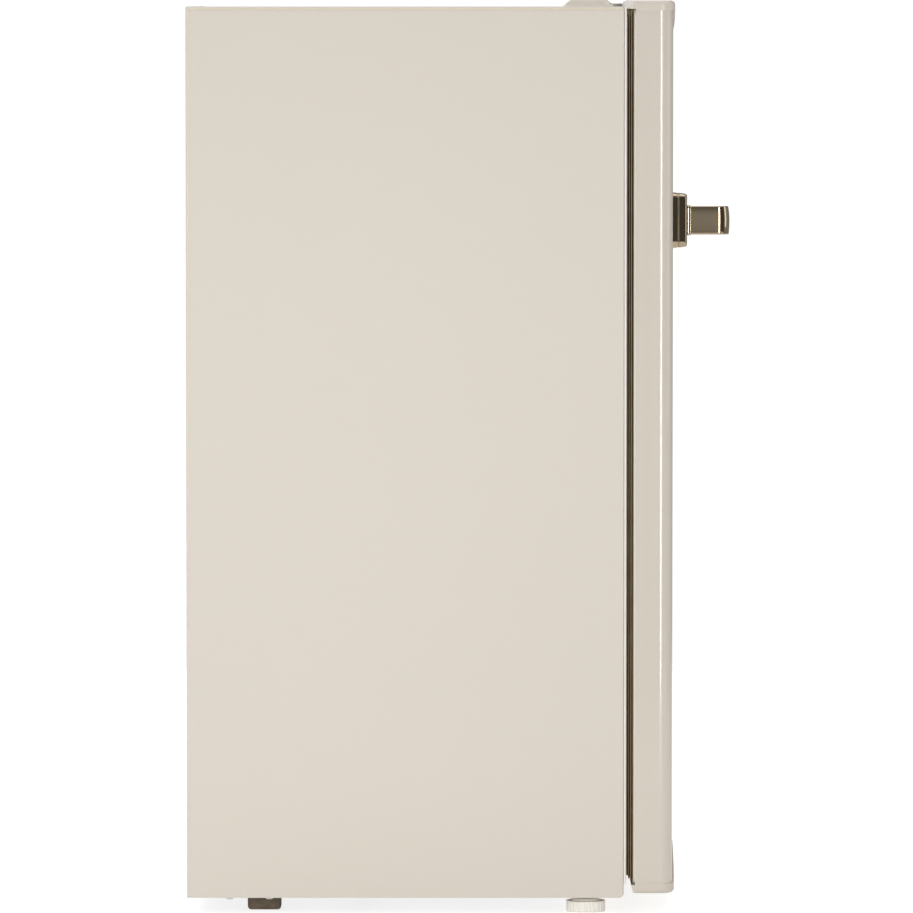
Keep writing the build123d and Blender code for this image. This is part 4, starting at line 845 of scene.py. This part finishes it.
def bar_ring(shape, outer, inner, half, steps=4, face_steps=10):
    """One section of the bar: crowned faces and rounded corners, between its outer and inner points."""
    across = Vector((inner[0] - outer[0], inner[1] - outer[1]))
    thick = across.length
    across.normalize()
    edge = min(CORNER, thick * 0.3)
    flat = half - edge
    ring = []

    def add(side, height, past):
        """A point past the crowned face on one side, at a height from the bar's middle."""
        drop = (CROWN_ABOVE if height > 0 else CROWN_BELOW) * min(abs(height) / flat, 1.0) ** 2
        along = thick / 2 + side * (thick / 2 - drop + past)
        x, y = outer[0] + across.x * along, outer[1] + across.y * along
        ring.append(shape.verts.new((x, y, bar_middle + height)))

    for side, up in ((1, 1), (-1, -1)):
        for step in range(1, face_steps):
            add(side, up * flat * (2 * step / face_steps - 1), 0.0)
        for step in range(steps + 1):
            turn = radians(90 * step / steps)
            add(side, up * (flat + edge * sin(turn)), edge * (cos(turn) - 1))
        for step in range(steps + 1):
            turn = radians(90 * (1 - step / steps))
            add(-side, up * (flat + edge * sin(turn)), edge * (cos(turn) - 1))
    return ring


bar_shape = bmesh.new()
tube(bar_shape, [bar_ring(bar_shape, *station) for station in stations])
new_piece("handle_bar", bar_shape, "door", "handle_chrome", 38, "handle_lever")

# the collar: a thin rounded ring where the bar meets the boss
COLLAR_SECTION = [(0.2, 0.0), (1.5, 0.3), (1.5, 2.2), (0.9, 3.0), (0.0, 3.2)]  # out from the stem, and forwards
COLLAR_CORNER = 2.4 * MM
COLLAR_MOST_TALL = 0.8  # mm that it may stand above and below the stem
collar_shape = bmesh.new()
collar_centre = (stem_x + STEM_THICK / 2, bar_middle)
tube(collar_shape, [
    cushion_ring(
        collar_shape, collar_centre, STEM_THICK / 2 + grow * MM, STEM_HALF + min(grow, COLLAR_MOST_TALL) * MM,
        COLLAR_CORNER, root_y - forward * MM, 4,
    )
    for grow, forward in COLLAR_SECTION
])
new_piece("handle_collar", collar_shape, "door", "handle_chrome", 40)
skin_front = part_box("door_skin")[0].y
print("bar", len(stations), "sections; reaches", round((skin_front - front_y) / MM, 1), "mm off the door")

# %% [markdown]
# ## Screw heads
# A screw is read from its head: a shallow dome with a crossed recess. The dome is a few rings of points, and
# the recess is made by sinking the points that lie on a cross. One function makes them all; each call says
# where the heads sit and which way they look. The places come from the plain screws that the heads stand for.


# %% Screw heads
HEAD_RINGS, HEAD_AROUND = 7, 32
DOME_SHARE = 0.94  # of a full dome; less is flatter at its rim
CROSS_WIDE, CROSS_LONG = 0.13, 0.58  # the recess's arms, in head radii
CROSS_DEEP, SKIRT = 0.55, 0.34  # the recess and the skirt under the rim, in head heights


def screw_heads(name, spots, outward, radius, height, slot, stands_for=None, crossed=True):
    """Domed heads at spots on the cabinet, looking along outward; rivets have no crossed recess."""
    facing = Vector(outward).to_track_quat("Z", "Y").to_matrix()
    shape = bmesh.new()
    for spot in spots:
        rings = []
        for ring in range(HEAD_RINGS + 1):
            share = ring / HEAD_RINGS
            points = []
            for step in range(HEAD_AROUND):
                turn = 2 * pi * step / HEAD_AROUND
                x, y = radius * share * cos(turn), radius * share * sin(turn)
                z = height * sqrt(1 - (share * DOME_SHARE) ** 2)
                near, far = sorted((abs(x), abs(y)))
                if crossed and near < radius * CROSS_WIDE and far < radius * CROSS_LONG:
                    z -= height * CROSS_DEEP
                points.append(shape.verts.new(facing @ Vector((x, y, z)) + Vector(spot)))
                if ring == 0:
                    break
            rings.append(points)
        for step in range(HEAD_AROUND):
            following = (step + 1) % HEAD_AROUND
            shape.faces.new((rings[0][0], rings[1][step], rings[1][following]))
            for ring, outer in zip(rings[1:], rings[2:]):
                shape.faces.new((ring[step], outer[step], outer[following], ring[following]))
        foot = [shape.verts.new(v.co - facing @ Vector((0, 0, height * SKIRT))) for v in rings[-1]]
        bridge(shape, rings[-1], foot)
        shape.faces.new(foot)
    new_piece(name, shape, "cabinet", slot, 35, stands_for)


def spots_of(node):
    """The middle of each separate solid of a CAD node, with its low corner."""
    mesh = nodes[node].data
    shape = bmesh.new()
    shape.from_mesh(mesh)
    bmesh.ops.remove_doubles(shape, verts=shape.verts, dist=1e-6)
    shape.verts.ensure_lookup_table()
    unseen = set(shape.verts)
    found = []
    while unseen:
        group, edge = set(), [unseen.pop()]
        while edge:
            vert = edge.pop()
            group.add(vert)
            for link in vert.link_edges:
                other = link.other_vert(vert)
                if other in unseen:
                    unseen.remove(other)
                    edge.append(other)
        low = Vector([min(v.co[axis] for v in group) for axis in range(3)])
        high = Vector([max(v.co[axis] for v in group) for axis in range(3)])
        found.append(((low + high) / 2, low))
    shape.free()
    return sorted(found, key=lambda item: tuple(round(c, 4) for c in item[0]))


BACKWARDS, DOWNWARDS = (0, 1, 0), (0, 0, -1)
BASE_HEAD, HINGE_HEAD = 2.3 * MM, 2 * MM  # how far each kind of head stands
back_low, back_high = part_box("back_panel_screws")
back_spots = [(middle.x, low.y, middle.z) for middle, low in spots_of("back_panel_screws")]
back_head = back_high.y - back_low.y
screw_heads("back_screw_heads", back_spots, BACKWARDS, 4 * MM, back_head, "zinc_steel", "back_panel_screws")
base_spots = [(middle.x, middle.y, low.z + BASE_HEAD) for middle, low in spots_of("base_screws")]
screw_heads("base_screw_heads", base_spots, DOWNWARDS, 3.75 * MM, BASE_HEAD, "base_screw", "base_screws")
hinge_spots = [(middle.x, middle.y, low.z + HINGE_HEAD) for middle, low in spots_of("bottom_hinge_screws")]
screw_heads(
    "hinge_screw_heads", hinge_spots, DOWNWARDS, 4.5 * MM, HINGE_HEAD, "zinc_steel", "bottom_hinge_screws"
)
print("screw heads", len(back_spots), len(base_spots), len(hinge_spots))

# %% [markdown]
# ## The evaporator's channels
# The freezer box is two aluminium sheets rolled into one, and blown up along a printed path so that the coolant
# can run between them. The path shows as a raised serpentine. A low, rounded section is carried along a path of
# straight passes and half-round turns, once over the floor of the box and once up its back.


# %% Evaporator channels
def serpentine(start, passes, reach, pitch, steps=8):
    """Points on a plane: straight passes of a given reach, joined by half-round turns one pitch apart."""
    points = []
    for number in range(passes):
        across = start[1] + number * pitch
        ends = (start[0], start[0] + reach)
        near, far = ends if number % 2 == 0 else ends[::-1]
        points += [(near, across), (far, across)]
        if number < passes - 1:
            outward = 1 if far > near else -1
            for step in range(1, steps):
                turn = pi * (step / steps - 0.5)
                points.append((
                    far + outward * pitch / 2 * cos(turn), across + pitch / 2 + pitch / 2 * sin(turn),
                ))
    return points


def raised_channel(shape, points, place, section):
    """Carries a section of (across, up) along points on a plane; place turns (u, v, up) into space."""
    rings = []
    for index, (u, v) in enumerate(points):
        before, after = points[max(index - 1, 0)], points[min(index + 1, len(points) - 1)]
        along = Vector((after[0] - before[0], after[1] - before[1])).normalized()
        rings.append([
            shape.verts.new(place(u - along.y * across * MM, v + along.x * across * MM, up * MM))
            for across, up in section
        ])
    tube(shape, rings)


freezer_low, freezer_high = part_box("freezer_box")
SHEET = 1.6 * MM
CHANNEL_HALF = 138 * MM  # half the length of a pass
CHANNEL_SECTION = [
    (-4.4, -0.4), (-4.4, 0.0), (-3.0, 1.0), (-1.2, 1.5), (1.2, 1.5), (3.0, 1.0), (4.4, 0.0), (4.4, -0.4),
]
floor_z, back_y = freezer_low.z + SHEET, freezer_high.y - SHEET
floor_path = serpentine((-CHANNEL_HALF, 12 * MM), passes=6, reach=2 * CHANNEL_HALF, pitch=30 * MM)
back_path = serpentine((-CHANNEL_HALF, freezer_low.z + 24 * MM), passes=3, reach=2 * CHANNEL_HALF, pitch=26 * MM)
channels = bmesh.new()
raised_channel(channels, floor_path, lambda u, v, up: (u, v, floor_z + up), CHANNEL_SECTION)
raised_channel(channels, back_path, lambda u, v, up: (u, back_y - up, v), CHANNEL_SECTION)
new_piece("evaporator_channels", channels, "cabinet", "evaporator_aluminium", 50)
print("channels over", round((freezer_high.x - freezer_low.x) / MM), "mm of sheet")

# %% [markdown]
# ## The thermostat's marks
# The dial is set by numbers raised on its face, read against a small pointer on the housing. Blender's text
# object makes the shapes; turned into a mesh, they ride on the dial and turn with it.

# %% Dial numbers and pointer
dial_low, dial_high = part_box("thermostat_dial")
dial_centre = Vector((dial_low.x, (dial_low.y + dial_high.y) / 2, (dial_low.z + dial_high.z) / 2))
DIAL_NUMBERS = 7
DIAL_SWEEP = radians(300)
NUMBER_RADIUS = 11.8 * MM
NUMBER_HEIGHT = 5.2 * MM
NUMBER_RAISED = 0.25 * MM
# the dial is read from the left: right on its face is towards the door, and up is up
upright = Matrix(((0, 0, -1, dial_centre.x), (-1, 0, 0, dial_centre.y), (0, 1, 0, dial_centre.z), (0, 0, 0, 1)))
dial_marks = bmesh.new()
for number in range(DIAL_NUMBERS + 1):
    text = bpy.data.curves.new("dial_number", "FONT")
    text.body = str(number)
    text.size = NUMBER_HEIGHT
    text.align_x, text.align_y = "CENTER", "CENTER"
    text.extrude = NUMBER_RAISED
    text.resolution_u = 4
    carrier = bpy.data.objects.new("dial_number", text)
    glyph = bpy.data.meshes.new_from_object(carrier)
    turn = DIAL_SWEEP * number / DIAL_NUMBERS
    glyph.transform(upright @ Matrix.Rotation(-turn, 4, "Z") @ Matrix.Translation((0, NUMBER_RADIUS, 0)))
    dial_marks.from_mesh(glyph)
    bpy.data.objects.remove(carrier)
    bpy.data.curves.remove(text)
    bpy.data.meshes.remove(glyph)
new_piece("dial_numbers", dial_marks, "thermostat_dial", "black_plastic")

POINTER = [(-2.2, 24.5), (2.2, 24.5), (0.0, 19.5)]  # sideways and up from the dial's middle, mm
POINTER_SUNK, POINTER_RAISED = -0.5 * MM, 0.4 * MM
housing_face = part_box("thermostat_housing")[0].x
pointer_shape = bmesh.new()
tube(pointer_shape, [
    [
        pointer_shape.verts.new((housing_face - raised, dial_centre.y - side * MM, dial_centre.z + up * MM))
        for side, up in POINTER
    ]
    for raised in (POINTER_SUNK, POINTER_RAISED)
])
new_piece("dial_pointer", pointer_shape, "cabinet", "black_plastic")
print("dial numbers 0 to", DIAL_NUMBERS)

# %% [markdown]
# ## The plate and the bead on the back
# Fridges carry a riveted metal plate on the back. Here it is left blank. The plate is a thin sheet with rounded
# corners, and its rivets are the screw heads' dome without the cross. The back sheet itself is stiffened by one
# low bead, pressed all round it a little inside its edge.

# %% Back plate
panel_low, panel_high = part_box("back_panel")
PLATE_HALF = (45 * MM, 27 * MM)
PLATE_THICK = 0.35 * MM
PLATE_CORNER = 4 * MM
PLATE_SECTION = [(0.0, -0.1 * MM), (0.0, PLATE_THICK * 0.6), (0.25 * MM, PLATE_THICK)]  # inwards, and out
RIVET_INSET = 5 * MM
plate_centre = (panel_high.x - 95 * MM, panel_high.z - 86 * MM)
plate_shape = bmesh.new()
tube(plate_shape, [
    cushion_ring(
        plate_shape, plate_centre, PLATE_HALF[0] - inset, PLATE_HALF[1] - inset, PLATE_CORNER,
        panel_high.y + out, 5,
    )
    for inset, out in PLATE_SECTION
])
new_piece("back_plate", plate_shape, "cabinet", "zinc_steel", 30)
rivet_spots = []
for sx, sz in ((-1, -1), (-1, 1), (1, -1), (1, 1)):
    x = plate_centre[0] + sx * (PLATE_HALF[0] - RIVET_INSET)
    z = plate_centre[1] + sz * (PLATE_HALF[1] - RIVET_INSET)
    rivet_spots.append((x, panel_high.y + PLATE_THICK, z))
screw_heads("back_plate_rivets", rivet_spots, BACKWARDS, 1.7 * MM, 0.6 * MM, "zinc_steel", crossed=False)
print("plate", [round(2 * v / MM) for v in PLATE_HALF], "mm, rivets", len(rivet_spots))

# %% Back bead
BEAD_INSET = 35 * MM
BEAD_CORNER = 26 * MM
# each point is how far inwards of the bead's middle line, and how far out from the sheet
BEAD_SECTION = [
    (-4.5, -0.2), (-4.5, 0.0), (-3.0, 0.45), (-1.3, 0.75), (1.3, 0.75), (3.0, 0.45), (4.5, 0.0), (4.5, -0.2),
]
panel_centre = ((panel_low.x + panel_high.x) / 2, (panel_low.z + panel_high.z) / 2)
bead_half = ((panel_high.x - panel_low.x) / 2 - BEAD_INSET, (panel_high.z - panel_low.z) / 2 - BEAD_INSET)
bead_shape = bmesh.new()
frame_skin(bead_shape, [
    cushion_ring(
        bead_shape, panel_centre, bead_half[0] - across * MM, bead_half[1] - across * MM,
        BEAD_CORNER - across * MM, panel_high.y + out * MM, 10,
    )
    for across, out in BEAD_SECTION
])
new_piece("back_panel_bead", bead_shape, "cabinet", "back_paint", 50)
print("bead round", [round(2 * v / MM) for v in bead_half], "mm")
